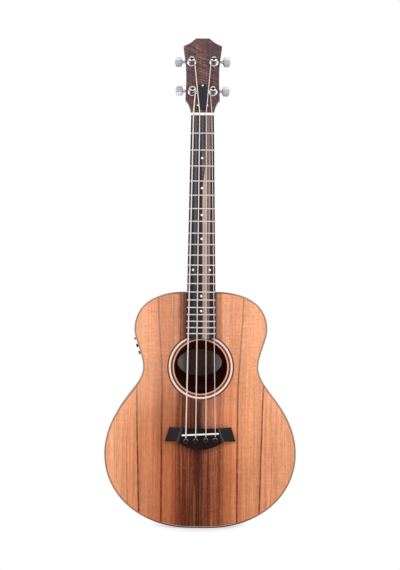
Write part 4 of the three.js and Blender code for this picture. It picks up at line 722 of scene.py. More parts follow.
finishes = dict(  # each paired with a slot name, and a piece may name its own; no slot is put on the pieces here
    front=(koaFront(), "koa"), back=(koaPlain("koaBack", "up"), "koa"),
    sides=(koaPlain("koaSides", "round"), "koa"),
    inside=(cloudy("insideWood", (78, 32, 27), (96, 42, 35), 0.05, 0.8, specular=0.05), "koa"),
    veneer=(headVeneer(), "dark_wood"), neck=(neckWood(), "neck_wood"), spruce=(spruce(), "spruce"),
    board=(ebonyBoard(), "ebony"), bridge=(ebonyBridge(), "ebony"), pin=(pinFinish(), "ebony"),
    rim=(rimBinding(), "binding"), hairline=(rimHairline(), "binding"),
    binding=(cloudy("blackBinding", (40, 32, 30), (54, 44, 42), roughness=0.45, specular=0.2), "binding"),
    ringDark=(cloudy("ringDark", (88, 42, 28), (112, 58, 40), roughness=0.45), "shell"),
    ringTan=(cloudy("ringTan", (222, 160, 128), (238, 182, 152), 0.5, 0.45), "shell"),
    ringPale=(cloudy("ringPale", (240, 216, 204), (250, 232, 222), 0.5, 0.35), "shell"),
    dot=(cloudy("pearlDot", (244, 242, 243), (253, 252, 252), 1.2, 0.25), "shell"),
    bone=(cloudy("bone", (247, 244, 239), (253, 252, 249), 0.3, 0.35), "bone"), paper=(labelFinish(), "bone"),
    chrome=(cloudy("chrome", (200, 198, 202), (222, 220, 224), roughness=0.14, metallic=1.0), "chrome"),
    casing=(cloudy("casingMetal", (128, 127, 134), (152, 151, 158), 0.1, 0.28, metallic=0.9), "chrome"),
    satin=(cloudy("satinMetal", (206, 202, 208), (222, 218, 222), roughness=0.3, metallic=0.2), "chrome"),
    screw=(cloudy("screwMetal", (244, 244, 246), (252, 252, 253), roughness=0.25, metallic=0.1), "chrome"),
    fretMetal=(cloudy("fretMetal", (224, 214, 214), (236, 228, 228), roughness=0.35, metallic=0.15),
               "chrome"),
    button=(buttonFinish(), "chrome"),
    steel=(cloudy("steel", (140, 140, 146), (170, 170, 176), roughness=0.4, metallic=1.0), "steel"),
    # painted shade in the posts' slots
    dark=(cloudy("paintedSlotShade", (22, 20, 22), (32, 28, 30), roughness=0.6, specular=0.1), "steel"),
    black=(cloudy("blackPlastic", (26, 25, 38), (38, 37, 52), roughness=0.35, bump=0.1, specular=0.2),
           "black_plastic"),
    knobGrey=(cloudy("knobGrey", (120, 120, 124), (150, 150, 154), roughness=0.35), "black_plastic"),
    string=(woundWire("stringWire", (229, 205, 190), (247, 230, 219), 0.05), "bronze"),
    # painted shade: the turns darker than the string under the posts' caps, darkest in front of the slots
    turns=(woundWire("turnsWire", (186, 172, 166), (226, 214, 208), 0.2, shade=(112, 94, 88)), "bronze"),
)


def dress(finish, *nodes):  # solids that are shown as the model has them
    for node in nodes:
        frame["nodes"][node].data.materials[0] = finishes[finish][0]


print("finishes made:", len(finishes))

# Sound box

sound = dict(
    holeRadius=50.0, holeHeight=302.2, edge=0.3, seam=0.05,
    rings=[("rosetteEdgeLine", 50.5, 52.7, "ringTan"), ("rosetteInnerLine", 52.7, 56.5, "ringDark"),
           ("rosettePaleRing", 56.5, 60.0, "ringPale", "rosette"),
           ("rosetteOuterLine", 60.0, 62.9, "ringDark")],
    binding=[(model["side"], -model["bindingDepth"]), (0.0, -model["bindingDepth"]), (0.0, -1.0),
             (0.07, -0.62), (0.29, -0.29), (0.62, -0.07), (1.0, 0.0), (model["side"], 0.0)],
    hairline=[(2.35, -0.8), (2.35, 0.03), (2.95, 0.03), (2.95, -0.8)],
)
paper = dict(across=-1.0, height=305.5, halfWidth=43.0, halfHeight=26.0, thickness=0.3, lift=0.4, seam=2.35)


def soundboardPiece():
    # Loops at equal angles round the hole: the outer one follows the body, the inner one the hole, and those
    # between them lie at equal shares of the way
    angles = turnShares(720) - math.pi / 2
    outline = bodyLoop(model["side"] - sound["seam"]) - [0, sound["holeHeight"]]
    bearing = np.unwrap(np.arctan2(outline[:, 1], outline[:, 0]))
    order = np.argsort(bearing)
    first = bearing[order][0]
    reach = np.interp(np.mod(angles - first, 2 * math.pi) + first, bearing[order],
                      np.linalg.norm(outline, axis=1)[order])
    hole, edge, low = sound["holeRadius"], sound["edge"], -model["skin"]
    rows = [(reach, low), (reach, 0.0)]
    rows += [(reach + (hole + edge - reach) * s, 0.0) for s in (0.25, 0.5, 0.75, 1.0)]
    rows += [(hole + edge / 2, -edge / 2), (hole, -edge), (hole, low)]
    points = [world(r * np.cos(angles), h, r * np.sin(angles) + sound["holeHeight"]) for r, h in rows]
    faces = gridFaces(len(rows), len(angles), True, True)
    addPiece("soundboardTop", np.stack(points), faces, "front", "soundboard")


def ringPiece(name, inner, outer, finish, *stands, depth=1.4, proud=0.06, ease=0.1):
    # A flat ring let into the front, a little proud of it, with both edges eased
    profile = [(inner, -depth), (inner, proud / 2), (inner + ease, proud), (outer - ease, proud),
               (outer, proud / 2), (outer, -depth)]
    lathePiece(name, profile, lambda x, h, z: world(x, h, z + sound["holeHeight"]), finish, *stands,
               sides=192, hollow=True)


def bandPiece(name, profile, finish, *stands, behind=False):
    # A strip round the body: pairs of (inset, height) carried along the outline, or along the back's edge
    rows = []
    for inset, height in profile:
        x, z = bodyLoop(inset).T
        rows.append(world(x, height - depthAt(z) if behind else height, z))
    addPiece(name, np.stack(rows), gridFaces(len(rows), len(rows[0]), True, True), finish, *stands)


def sidesPiece():
    # The bent sides, from the front binding to the back binding, outside and then, 10 on in the map, inside
    side, drop = model["side"], model["bindingDepth"]
    length = runLengths(bodyLoop(0.0)) / 1000
    outside = [(0.0, share, 0) for share in np.linspace(0, 1, 9)]
    rows, uv = [], []
    for inset, share, mark in outside + [(0.8, 1, 10), (side, 1, 10), (side, 0, 10), (0.8, 0, 10)]:
        x, z = bodyLoop(inset).T
        low, high = -depthAt(z) + drop, -drop
        height = high + (low - high) * share
        rows.append(world(x, height, z))
        uv.append(np.stack(np.broadcast_arrays(length + mark, -height / 1000), -1))
    wayRound = float(length[-1]) + 2 * model["tailHalf"] / 1000
    addPiece("bentSides", np.stack(rows), gridFaces(len(rows), len(length), True, True), "sides",
             "side_bass", "side_treble", uv=np.stack(uv), period=wayRound)


def backPiece(name, near, far, inset, finish, *stands):
    # The arched back: rows across it, each a parabola behind the slanted edge plane, at two distances in
    # front of its outside face, which has 0 on the map where the rest has 10
    half, t = bodyHalf(model["side"] + inset, 40), np.linspace(-1, 1, 49)
    x, z = half[:, :1] * t, half[:, 1:] + 0 * t
    skins = [world(x, -(depthAt(z) + crownAt(t, z) - forward), z) for forward in (near, far)]
    uv = [np.stack(np.broadcast_arrays(10.0 if forward else 0.0, z / 1000), -1) for forward in (near, far)]
    cells, border = gridFaces(*x.shape), borderOf(*x.shape)
    faces = [cells, cells[:, ::-1] + x.size, stripFaces(border, border + x.size)[:, ::-1]]
    addPiece(name, np.stack(skins), faces, finish, *stands, uv=np.stack(uv))


def labelPiece():  # a plain oval of paper on the inside of the back
    a, r = turnShares(96), np.array([1.0, 1.0, 0.66, 0.33])[:, None]
    x = paper["across"] + paper["halfWidth"] * r * np.cos(a)
    z = paper["height"] + paper["halfHeight"] * r * np.sin(a)
    half = bodyHalf(paper["seam"])
    width = np.interp(z, half[:, 1], half[:, 0])
    lift = paper["lift"] + paper["thickness"] * np.array([0.1, 1.0, 1.0, 1.0])
    oval = world(x, -(depthAt(z) + crownAt(x / width, z) - model["skin"]) + lift[:, None], z)
    middle = -(depthAt(paper["height"]) + model["crown"] - model["skin"]) + lift[:2]
    points = np.concatenate([oval.reshape(-1, 3), world(paper["across"], middle, paper["height"])])
    addPiece("labelPaper", points, cappedFaces(4, 96), "paper")


soundboardPiece()
for ring in sound["rings"]:
    ringPiece(*ring)
bandPiece("frontBinding", sound["binding"], "rim", "front_binding")
bandPiece("frontHairline", sound["hairline"], "hairline")
bandPiece("backBinding", [(inset, -h) for inset, h in sound["binding"]], "binding", "back_binding",
          behind=True)
sidesPiece()
backPiece("archedBack", 0.0, model["skin"], -0.05, "back", "back_plate")
backPiece("backInside", model["skin"] + 0.02, model["skin"] + 0.3, 0.6, "inside")
labelPiece()
dress("spruce", "tail_block", "front_lining", "cross_brace_over", "cross_brace_under", "transverse_brace",
      "tone_bar")
dress("inside", "neck_block", "back_lining", "back_brace_1", "back_brace_2", "bridge_plate")
dress("binding", "end_graft")
print("sound box made")

# Neck and fretboard

neck = dict(widthNut=42.9, widthEnd=56.0, depthNut=16.0, depthHeel=20.0, heelReach=62.0, heelPower=2.3,
            capWidth=26.0, heelDepth=86.0, intoHead=14.0)
head = dict(
    half=36.7, length=151.6, wood=[(2.0, -14.0), (0.6, -13.4), (0.0, -12.0), (0.0, 0.05)],
    veneer=2.0, ease=0.45,
    runs=[  # smooth runs through shares of half its width and of its length, with corners between
        [(0.583, 0), (0.61, 0.044), (0.668, 0.1), (0.768, 0.157), (0.883, 0.192)],
        [(0.883, 0.192), (0.85, 0.42), (0.878, 0.66), (1, 0.898)],
        [(1, 0.898), (0.76, 0.925), (0.6, 0.95), (0.47, 0.978), (0.337, 1.006)],
        [(0.337, 1.006), (0.18, 1.002), (0.005, 1.0)]],
)
board = dict(thickness=7.0, radius=305.0, ease=0.5, easedShare=0.03)
wire = dict(half=1.1, height=1.1, inset=0.4, slope=0.9, root=0.5, bulge=0.8)
dots = dict(radius=2.2, ease=0.15, proud=0.05, depth=0.6,  # fret and place across
            places=[(3, 0), (5, 0), (7, 0), (9, 0), (12, -15.7), (12, 15.7), (15, 0), (17, 0)])
nut = dict(half=21.45, top=10.25, lip=0.6, bevel=1.2, fall=1.2, back=4.7, slotGap=0.1, ease=0.8,
           easeWidth=0.85)


def widthAt(z):  # of the neck and the board: straight from the nut to the board's end
    share = np.maximum(nutPlace - z, 0) / (nutPlace - boardEnd)
    return neck["widthNut"] + (neck["widthEnd"] - neck["widthNut"]) * share


def archAt(x):  # the board's face is part of a round
    radius = board["radius"]
    return board["thickness"] - (radius - np.sqrt(radius ** 2 - np.asarray(x, float) ** 2))


def neckPiece():
    # Sections up the neck, flat in front: an oval behind, blended into the squarer heel over its reach
    share = np.linspace(0, 1, 46) ** 1.5
    heelZ = model["length"] + model["glue"] + share * neck["heelReach"]
    shaftZ = np.linspace(heelZ[-1], headPlace + neck["intoHead"], 40)[1:]
    z = np.concatenate([heelZ, shaftZ])
    runs = np.minimum((shaftZ - heelZ[-1]) / (headPlace - heelZ[-1]), 1)
    thick, thin = neck["depthHeel"], neck["depthNut"]
    depth = [thick + (neck["heelDepth"] - thick) * (1 - share) ** neck["heelPower"],
             thick + (thin - thick) * runs]
    half, deep = (widthAt(z) / 2)[:, None], np.concatenate(depth)[:, None]
    blend = np.concatenate([(1 - share) ** 1.5, 0 * shaftZ])[:, None]
    p = np.linspace(0, 1, 61)[None]
    ovalX, ovalY = half * np.cos(math.pi * p), deep * np.maximum(np.sin(math.pi * p), 0) ** 0.85
    near = np.minimum(p, 1 - p) * 3
    flare, cap = np.minimum(near, 1), neck["capWidth"] / 2
    edge = np.where(p < 0.5, 1, -1) * (half + (cap - half) * flare ** 0.7)
    x = ovalX + (np.where(near < 1, edge, cap * (1 - 2 * (p - 1 / 3) * 3)) - ovalX) * blend
    front = np.maximum(z - headPlace, 0)[:, None] * math.tan(model["tilt"])
    y = np.maximum(ovalY + (deep * flare - ovalY) * blend, front)
    barPiece("neckShaft", world(x, -y, z[:, None]), "neck", "neck", sharp=30)


def headLoop():  # the headstock's outline: a Catmull-Rom curve between each pair of points of a run
    half, t = [], np.linspace(0, 1, 8, endpoint=False)[:, None]
    for run in head["runs"]:
        q = np.array(run)
        q = np.concatenate([2 * q[:1] - q[1:2], q, 2 * q[-1:] - q[-2:-1]])
        for a, b, c, d in zip(q, q[1:], q[2:], q[3:]):
            bend = (2 * a - 5 * b + 4 * c - d) * t ** 2 + (3 * b - a - 3 * c + d) * t ** 3
            half.append(0.5 * (2 * b + (c - a) * t + bend))
    half.append(np.array(head["runs"][-1][-1:]))
    return mirrored(np.concatenate(half) * [head["half"], head["length"]])


def fretboardPiece():
    # Sections across the board: flat under, arched on top, with the edges eased
    z = np.linspace(boardEnd, nutPlace - model["glue"], 60)[:, None]
    half, t = widthAt(z) / 2, np.linspace(-1, 1, 41)
    ease = board["ease"] * np.clip((np.abs(t) - 1 + board["easedShare"]) / board["easedShare"], 0, 1) ** 2
    under = 0 * half + model["glue"]
    h = np.concatenate([under, archAt(half * t) - ease, under], 1)
    barPiece("fretboardWood", world(np.concatenate([-half, half * t, half], 1), h, z), "board", "fretboard")


def fretsPiece():
    # Each fret: a low dome of a section carried across the arch, its ends sloped and closed by fans
    t, a = np.linspace(-1, 1, 25)[:, None], np.linspace(0, math.pi, 9)
    ends = wire["slope"] * np.where(np.abs(t) == 1, np.sign(t), 0)
    rows, columns = len(t), len(a) + 1
    fan = np.stack(np.broadcast_arrays(columns - 1, np.arange(columns - 2), np.arange(1, columns - 1)), -1)
    points, faces = [], []
    for n in range(1, model["frets"] + 1):
        place = float(nutPlace - fretPlace(n))
        x = (float(widthAt(place)) / 2 - wire["inset"]) * t
        seat = archAt(x)
        h = np.concatenate([seat + wire["height"] * np.sin(a) ** wire["bulge"], seat - wire["root"]], 1)
        xs = np.concatenate([x - ends * np.sin(a), x], 1)
        zs = place + np.append(wire["half"] * np.cos(a), 0)
        first = sum(len(p) for p in points)
        faces += [gridFaces(rows, columns, closeColumns=True)[:, ::-1] + first, fan + first,
                  fan[:, ::-1] + (rows - 1) * columns + first]
        points.append(world(xs, h, zs).reshape(-1, 3))
    addPiece("fretWires", np.concatenate(points), faces, "fretMetal", sharp=60)


def dotsPiece():
    # Round inlays that follow the arch, a hair above it
    a, r = turnShares(32), np.array([dots["radius"] - dots["ease"], dots["radius"], dots["radius"]])[:, None]
    lift = np.array([dots["proud"], 0.0, -dots["depth"]])
    points, faces = [], []
    for fret, x in dots["places"]:
        z = float(nutPlace - (fretPlace(fret) + fretPlace(fret - 1)) / 2)
        xs, zs = x + r * np.cos(a), z + r * np.sin(a)
        faces += cappedFaces(*xs.shape, first=sum(len(p) for p in points))
        points += [world(xs, archAt(xs) + lift[:, None], zs).reshape(-1, 3),
                   world(x, archAt(x) + lift[[0, 2]], z)]
    addPiece("positionDots", np.concatenate(points), faces, "dot")


def nutPiece():
    # The nut: its top slopes to the headstock and drops into a straight slot under each string
    top, back = nut["top"], nut["back"]
    x = np.linspace(-nut["half"], nut["half"], 260)[:, None]
    dip = sum((np.abs(x - s["nut"]) < s["radius"] + nut["slotGap"]) * (top - overNut) for s in strings)
    onTop = np.array([0, 1, 1, 1, 0])
    h = np.array([model["glue"], top - nut["lip"], top, top - nut["fall"], model["glue"]])
    ease = nut["ease"] * np.clip((np.abs(x) - nut["half"] + nut["easeWidth"]) / nut["easeWidth"], 0, 1) ** 2
    z = nutPlace + np.array([0.0, 0.0, nut["bevel"], back, back])
    barPiece("nutBone", world(x, h - onTop * dip - ease * onTop, z), "bone", "nut", sharp=25)


neckPiece()
slabPiece("headWood", headLoop(), head["wood"], onHead, "neck")
slabPiece("headVeneer", headLoop(), rounded(0.05, head["veneer"], head["ease"]), onHead, "veneer",
          "headstock_overlay")
fretboardPiece()
fretsPiece()
dotsPiece()
nutPiece()
dress("steel", "truss_rod")
print("neck made")

# Truss rod cover

cover = dict(start=6.7, length=52.4, half=11.25, topHalf=7.95, foot=1.6, skirtShares=(0.28, 0.5),
             low=2.1, high=3.7, ease=0.5, screws=[(0.0, 54.6), (-9.0, 14.4), (9.0, 14.4)],
             screw=[(1.9, 3.6), (1.9, 3.95), (1.6, 4.3), (1.0, 4.5), (0.3, 4.55)])


def coverLoop():
    # Full width at the nut, drawn in by a parabola, straight, and a half round at the top
    start, length, half, topHalf = (cover[key] for key in ("start", "length", "half", "topHalf"))
    t, s = np.linspace(0, 1, 14)[:, None], np.linspace(0, math.pi / 2, 17)[:-1]
    a, b, c = np.array([(half, start + cover["foot"])]
                       + [(topHalf, start + length * share) for share in cover["skirtShares"]])
    centre = start + length - topHalf
    top = np.stack([topHalf * np.cos(s), centre + topHalf * np.sin(s)], -1)
    skirt = (1 - t) ** 2 * a + 2 * t * (1 - t) * b + t ** 2 * c
    return mirrored(np.concatenate([[[half, start]], skirt, top, [[0.01, centre + topHalf]]]))


slabPiece("rodCover", coverLoop(), rounded(cover["low"], cover["high"], cover["ease"]), onHead, "black",
          "truss_rod_cover")
for number, spot in enumerate(cover["screws"], 1):
    lathePiece(f"coverScrew{number}", cover["screw"], headAt(*spot), "screw", sides=24)

# Bridge

bridge = dict(top=189.2, foot=162.8, halfTop=58.0, halfFoot=66.5, thick=9.5, shoulder=5.4, wing=4.0,
              wingEnd=71.5, topBlock=35.5, footBlock=44.25, facet=9.0, hollow=2.8, belly=15.7, bellyPower=1.9,
              inset=0.7, edges=[(0.21, 0.1), (0.0, 0.5)])  # inset and drop of its rounded edge
saddle = dict(half=35.25, halfWidth=1.55, top=12.5, low=6.0, rounding=0.035,
              slant=math.tan(math.radians(2.7)))
pin = dict(drop=11.5, slantShare=0.8, radius=4.8, dome=2.6, domeLow=10.4,
           shank=[(2.3, -14.4), (2.9, 9.0), (4.4, 9.6), (4.8, 10.1)], tip=(0.3, 13.0))


def bridgePiece():
    # Rows from the lower edge to the upper one; columns keep to the facet lines. The face is level on the
    # block (map 0 to 1), drops over the facet (1 to 2) and falls along the wing (2 to 3), evenly to wingEnd
    b = bridge
    v = np.linspace(0, 1, 31)[:, None]
    u = np.concatenate([np.linspace(0, 1, 25), 1 + np.linspace(0, 1, 7)[1:], 2 + np.linspace(0, 1, 9)[1:]])
    u = np.concatenate([-u[:0:-1], u])[None]
    size = np.abs(u)
    fall = (b["shoulder"] - b["wing"]) / (b["wingEnd"] - b["footBlock"] - b["facet"])

    def surface(inset, drop):
        block = b["topBlock"] + (b["footBlock"] - b["topBlock"]) * (1 - v)
        outer = b["halfFoot"] + (b["halfTop"] - b["halfFoot"]) * v - inset
        wing = block + b["facet"]
        x = np.where(size < 1, size * block,
                     np.where(size < 2, block + b["facet"] * (size - 1), wing + (outer - wing) * (size - 2)))
        t = np.clip(x / b["footBlock"], 0, 1)
        low = b["foot"] - b["belly"] * (1 - t ** b["bellyPower"]) + inset
        high = b["top"] - b["hollow"] * (1 - np.clip(x / b["halfTop"], 0, 1) ** 2) - inset
        facet = b["thick"] - (b["thick"] - b["shoulder"]) * (size - 1)
        h = np.where(size <= 1, b["thick"], np.where(size <= 2, facet, b["shoulder"] - fall * (x - wing)))
        h = np.maximum(h - drop, model["glue"])
        return world(np.sign(u) * x, h, low + (high - low) * v).reshape(-1, 3)

    cells, border = gridFaces(31, u.size), borderOf(31, u.size)
    flat = np.stack(np.broadcast_arrays(u, v), -1).reshape(-1, 2)
    loops = [surface(*edge)[border] for edge in b["edges"] + [(0.0, b["thick"])]]
    numbers = [border] + [len(flat) + k * len(border) + np.arange(len(border)) for k in range(3)]
    under = len(flat) + 3 * len(border)
    faces = [cells]
    faces += [stripFaces(low, high)[:, ::-1] for low, high in zip(numbers, numbers[1:] + [under + border])]
    uv = np.concatenate([flat, flat[border], flat[border], flat[border], flat])
    points = np.concatenate([surface(b["inset"], 0.0), *loops, surface(b["inset"], b["thick"])])
    addPiece("bridgeWood", points, faces + [cells[:, ::-1] + under], "bridge", "bridge", sharp=16, uv=uv)


def saddlePiece():
    # A bar with a round top and round ends, on a slant: the thick strings are a little longer
    s, a = np.linspace(-1, 1, 61)[:, None], np.linspace(0, math.pi, 9)
    end = np.clip((np.abs(s) - 1 + saddle["rounding"]) / saddle["rounding"], 0, 1)
    width = saddle["halfWidth"] * np.sqrt(np.clip(1 - end ** 2, 0.02, 1))
    across = np.concatenate([width * np.sign(np.cos(a)) * np.abs(np.cos(a)) ** 0.5, -width, width], 1)
    foot = 0 * s + saddle["low"]
    h = np.concatenate([saddle["top"] - saddle["halfWidth"] + width * np.sin(a) ** 0.5, foot, foot], 1)
    along, angle = saddle["half"] * s, math.atan(saddle["slant"])
    c, w = math.cos(angle), math.sin(angle)
    points = world(along * c - across * w, h, saddlePlace + along * w + across * c)
    barPiece("saddleBone", points, "bone", "saddle")


def pinHeight(x):  # the pins' line slants a little less than the saddle
    return saddlePlace - pin["drop"] + x * saddle["slant"] * pin["slantShare"]


bridgePiece()
saddlePiece()
dome = [(pin["radius"] * math.cos(t) ** 0.8, pin["domeLow"] + pin["dome"] * math.sin(t))
        for t in np.linspace(0, math.pi / 2, 8)[:-1]]
profile = pin["shank"] + dome + [pin["tip"]]
pinMap = np.stack(np.broadcast_arrays(np.arange(48) / 48, np.array(profile)[:, :1]), -1).reshape(-1, 2)
for number, s in enumerate(strings, 1):
    x, z = s["saddle"], pinHeight(s["saddle"])
    lathePiece(f"bridgePin{number}", profile, lambda p, h, q: world(p + x, h, q + z), "pin",
               f"bridge_pin_{number}", uv=np.concatenate([pinMap, [[0, 0], [0, 0]]]), period=1)
print("bridge made")

# Strings and tuning machines

post = dict(radius=5.0, waist=4.2, floor=6.1, waistHeight=10.2, capHeight=2.8, bore=2.5, boreDepth=4.0,
            slotHalf=1.2, slotDepth=2.9, clearance=0.3)
winding = dict(turns=2.5, gap=0.5, steps=161)
route = dict(besidePin=4.4, low=-5.9, rise=0.6, behindNut=0.35, bend=0.0022)
bushing = [(5.4, -7.0), (6.6, -7.0), (6.6, 2.05), (8.3, 2.05), (8.45, 2.3), (8.45, 2.9), (8.1, 3.3),
           (7.2, 3.65), (6.2, 3.7), (5.5, 3.6), (5.4, 3.4)]
housing = dict(halfWidth=9.0, low=-10.5, high=17.0, corner=4.5, front=-14.1, back=-23.6, ease=(2.6, 2.4),
               screwUp=12.4,
               screw=[(2.3, -26.0), (2.3, -26.5), (1.9, -26.8), (0.9, -26.9), (0.8, -26.4), (0.2, -26.4)])
button = dict(
    shaftUp=10.8, shaftDepth=20.2, out=24.7, lean=math.radians(6), ridge=2.4, ridgeTaper=0.11,
    tip=-5.0, tipTaper=0.05,
    shaft=[(2.0, 4.0), (2.0, 13.2), (2.7, 13.5), (3.0, 14.4), (3.05, 15.6), (2.9, 17.0), (2.5, 17.8),
           (2.2, 18.0), (2.2, 20.0)],
    outline=[(0.01, -9.5), (4.6, -9.5), (6.6, -5.4), (7.3, -1.4), (7.3, 1.6), (6.5, 5.4), (4.7, 9.5),
             (0.01, 9.5)],
    levels=[(1.5, -4.0), (0.7, -3.7), (0.2, -3.1), (0.0, -2.2), (0.0, 2.2), (0.2, 3.1), (0.7, 3.7),
            (1.5, 4.0)],
)


def windingPath(index):
    # A helix round the post's waist; it starts where the string from the nut touches it, on the inner side
    side, out, up = posts[index]
    s = strings[index]
    radius = post["waist"] + post["clearance"] + s["radius"]
    # where the string leaves the nut, across and up as the headstock counts
    leave = np.array([s["nut"], -(overNut + s["radius"]) * math.sin(model["tilt"])])
    gap = np.array([side * out, up]) - leave
    distance = np.linalg.norm(gap)
    angle = math.atan2(gap[1], gap[0]) + math.asin(radius / distance) * side
    touch = leave + math.sqrt(distance ** 2 - radius ** 2) * np.array([math.cos(angle), math.sin(angle)])
    start = math.atan2(touch[1] - up, touch[0] - side * out)
    turns = np.linspace(0, winding["turns"], winding["steps"])
    a = start - side * 2 * math.pi * turns
    height = post["floor"] + s["radius"] + post["clearance"] + (2 * s["radius"] + winding["gap"]) * turns
    return onHead(side * out + radius * np.cos(a), height, up + radius * np.sin(a))


def stringPath(index):
    # Up from its ball beside the pin, over the saddle and the nut, and straight to its post
    s = strings[index]
    r, x, nutX = s["radius"], s["saddle"], s["nut"]
    well = pinHeight(x) + route["besidePin"] + r
    stops = [world(x, route["low"], well), world(x, bridge["thick"] + r * route["rise"], well),
             world(x, overSaddle + r, saddlePlace + x * saddle["slant"]),
             world(nutX, overNut + r, nutPlace + nut["bevel"]),
             world(nutX, overNut + r - route["behindNut"], headPlace), windingPath(index)[0]]
    return lineThrough(np.array(stops), route["bend"])


def postPieces(number, place):
    # A turned stem up to the floor of the slot, a dark disc on that floor as painted shade for the slot and
    # its bore, and two cheeks with the slot between them.
    # A cheek is a closed profile swept round to the slot's wall, which each radius meets at its own angle
    body = f"post_{number}"
    low, waist, radius, bore = (post[key] for key in ("floor", "waist", "radius", "bore"))
    waistTop = low + post["waistHeight"]
    top = waistTop + post["capHeight"]
    floor = top - post["slotDepth"]
    stem = [(4.7, -22.0), (4.7, 3.9), (radius, 4.0), (radius, low - 0.5), (4.8, low - 0.2), (4.35, low),
            (waist, low + 0.5), (waist, waistTop - 0.6), (4.35, waistTop - 0.1)]
    stem = [p for p in stem if p[1] < floor]
    stem += [(waist, floor), (bore, floor), (bore, floor - post["boreDepth"])]
    lathePiece(f"postStem{number}", stem, place, "chrome", f"tuner_post_{number}", body=body)
    # painted shade: a dark disc where the slot's floor and the bore lie in shade
    well = [(4.7, floor - 0.2), (4.75, floor + 0.25), (0.5, floor + 0.25)]
    lathePiece(f"postSlotShade{number}", well, place, "dark", sides=32, body=body)
    cheek = [(bore, floor), (bore, top - 0.3), (bore + 0.3, top), (4.4, top), (4.85, top - 0.2),
             (radius, top - 0.6), (radius, waistTop + 0.2), (4.8, waistTop), (4.3, waistTop - 0.1),
             (4.3, floor)]
    r, f = np.array(cheek).T[:, :, None]
    edge = np.arcsin(np.clip(post["slotHalf"] / r, 0, 0.99))
    a = edge + (math.pi - 2 * edge) * np.linspace(0, 1, 25)
    start = np.arange(len(cheek)) * a.shape[1]
    caps = [np.stack([0 * k + hub, k, np.roll(k, -1)], -1)
            for hub, k in ((a.size, start), (a.size + 1, start + a.shape[1] - 1))]
    faces = [gridFaces(*a.shape, closeRows=True), caps[0], caps[1][:, ::-1]]
    for hand, letter in ((1, "a"), (-1, "b")):
        points = place(r * np.cos(a), f, hand * r * np.sin(a))
        points = np.concatenate([points.reshape(-1, 3), points[:, [0, -1]].mean(0)])
        addPiece(f"postCheek{number}{letter}", points, faces, "chrome", body=body)


def housingPiece(number, place):  # a plate with rounded corners and a rounded back edge, and its screw
    a = np.linspace(0, math.pi / 2, 6)
    inset, drop = housing["ease"]
    levels = [(0.0, housing["front"]), (0.0, housing["back"])]
    levels += list(zip(inset * (1 - np.cos(a)), housing["back"] - drop * np.sin(a)))
    outline = roundedBox(*(housing[key] for key in ("halfWidth", "low", "high", "corner")))
    slabPiece(f"gearCover{number}", outline, levels, place, "casing", f"tuner_housing_{number}", sharp=45)
    lathePiece(f"housingScrew{number}", housing["screw"], lambda x, f, u: place(x, f, u + housing["screwUp"]),
               "chrome", sides=24)


def buttonPiece(number, side, out, up):
    # Shaft and collar are turned; the button is an outline with eight corners, crowned front and back
    body, flip = f"button_{number}", -1 if number == 1 else 1  # the first one stands half a turn round
    c, s = math.cos(button["lean"]), math.sin(button["lean"])

    def place(across, along, rise):  # along the shaft from the post, turned about the shaft a little
        return onHead(side * (out + along), -button["shaftDepth"] + across * c + rise * s,
                      up + button["shaftUp"] + rise * c - across * s)

    lathePiece(f"buttonShaft{number}", button["shaft"], place, "satin", f"tuner_button_{number}",
               sides=32, body=body)
    corners, t = np.array(button["outline"]), np.linspace(0, 1, 6, endpoint=False)[:, None]
    fine = np.concatenate([a + (b - a) * t for a, b in zip(corners, corners[1:])] + [corners[-1:]])
    for _ in range(2):  # corners softened by averaging each point with its neighbours
        fine[1:-1] = (fine[:-2] + 2 * fine[1:-1] + fine[2:]) / 4
    loop, levels = mirrored(fine), button["levels"]
    # thinner above the ridge and below the place where the tip starts
    thin = lambda u: (1 - button["ridgeTaper"] * np.maximum(u - button["ridge"], 0)
                      - button["tipTaper"] * np.maximum(button["tip"] - u, 0))
    slabPiece(f"buttonHead{number}", loop, levels,
              lambda x, f, u: place(f * thin(u * flip), button["out"] + x * side, u), "button",
              sharp=12, body=body, uv=np.tile(loop[:, ::-1] * [flip, 1], (len(levels), 1)))


for index, (side, out, up) in enumerate(posts):
    number, radius = index + 1, strings[index]["radius"] / 1000
    place = headAt(side * out, up)
    tubePiece(f"stringTurns{number}", windingPath(index), radius, onHead(0, 1, 0) - onHead(0, 0, 0), "turns",
              f"string_winding_{number}", body=f"post_{number}")
    tubePiece(f"string{number}", stringPath(index), radius, (1, 0, 0), "string", f"string_{number}")
    postPieces(number, place)
    lathePiece(f"bushing{number}", bushing, place, "chrome", f"tuner_bushing_{number}",
               sides=64, hollow=True, sharp=30)
    housingPiece(number, place)
    buttonPiece(number, side, out, up)
print("strings and tuners made")

# Controls on the bass side, and the jack

controls = dict(
    panelAt=(341.0, 42.0), jackAt=(78.0, 52.0), leanSpan=14.0, panel=(13.0, -31.0, 31.0, 3.0),
    panelLevels=[(0.0, -2.2), (0.0, 0.4), (0.15, 0.7), (0.5, 0.9)],
    case=(10.0, -27.0, 27.0, 2.0), caseLevels=[(1.0, -23.0), (0.0, -22.0), (0.0, -2.3)],
    knobs=[("tuner_switch", 14.0, 2.2, "knobGrey"), ("volume_knob", 0.0, 3.4, "black"),
           ("tone_knob", -14.0, 3.4, "knobGrey")],
    mark=[(0.01, 0.4), (0.3, 0.5), (0.3, 2.4), (0.01, 2.5)],
    markLevels=[(0.0, 5.4), (0.0, 5.62), (0.05, 5.7)],
    jack=[(3.3, -19.6), (3.3, 2.6), (3.8, 2.9), (5.6, 2.9), (6.0, 2.4), (13.6, 2.4), (14.6, 2.1), (15.0, 1.6),
          (15.0, -1.2), (9.0, -1.2), (9.0, -26.0)],
)


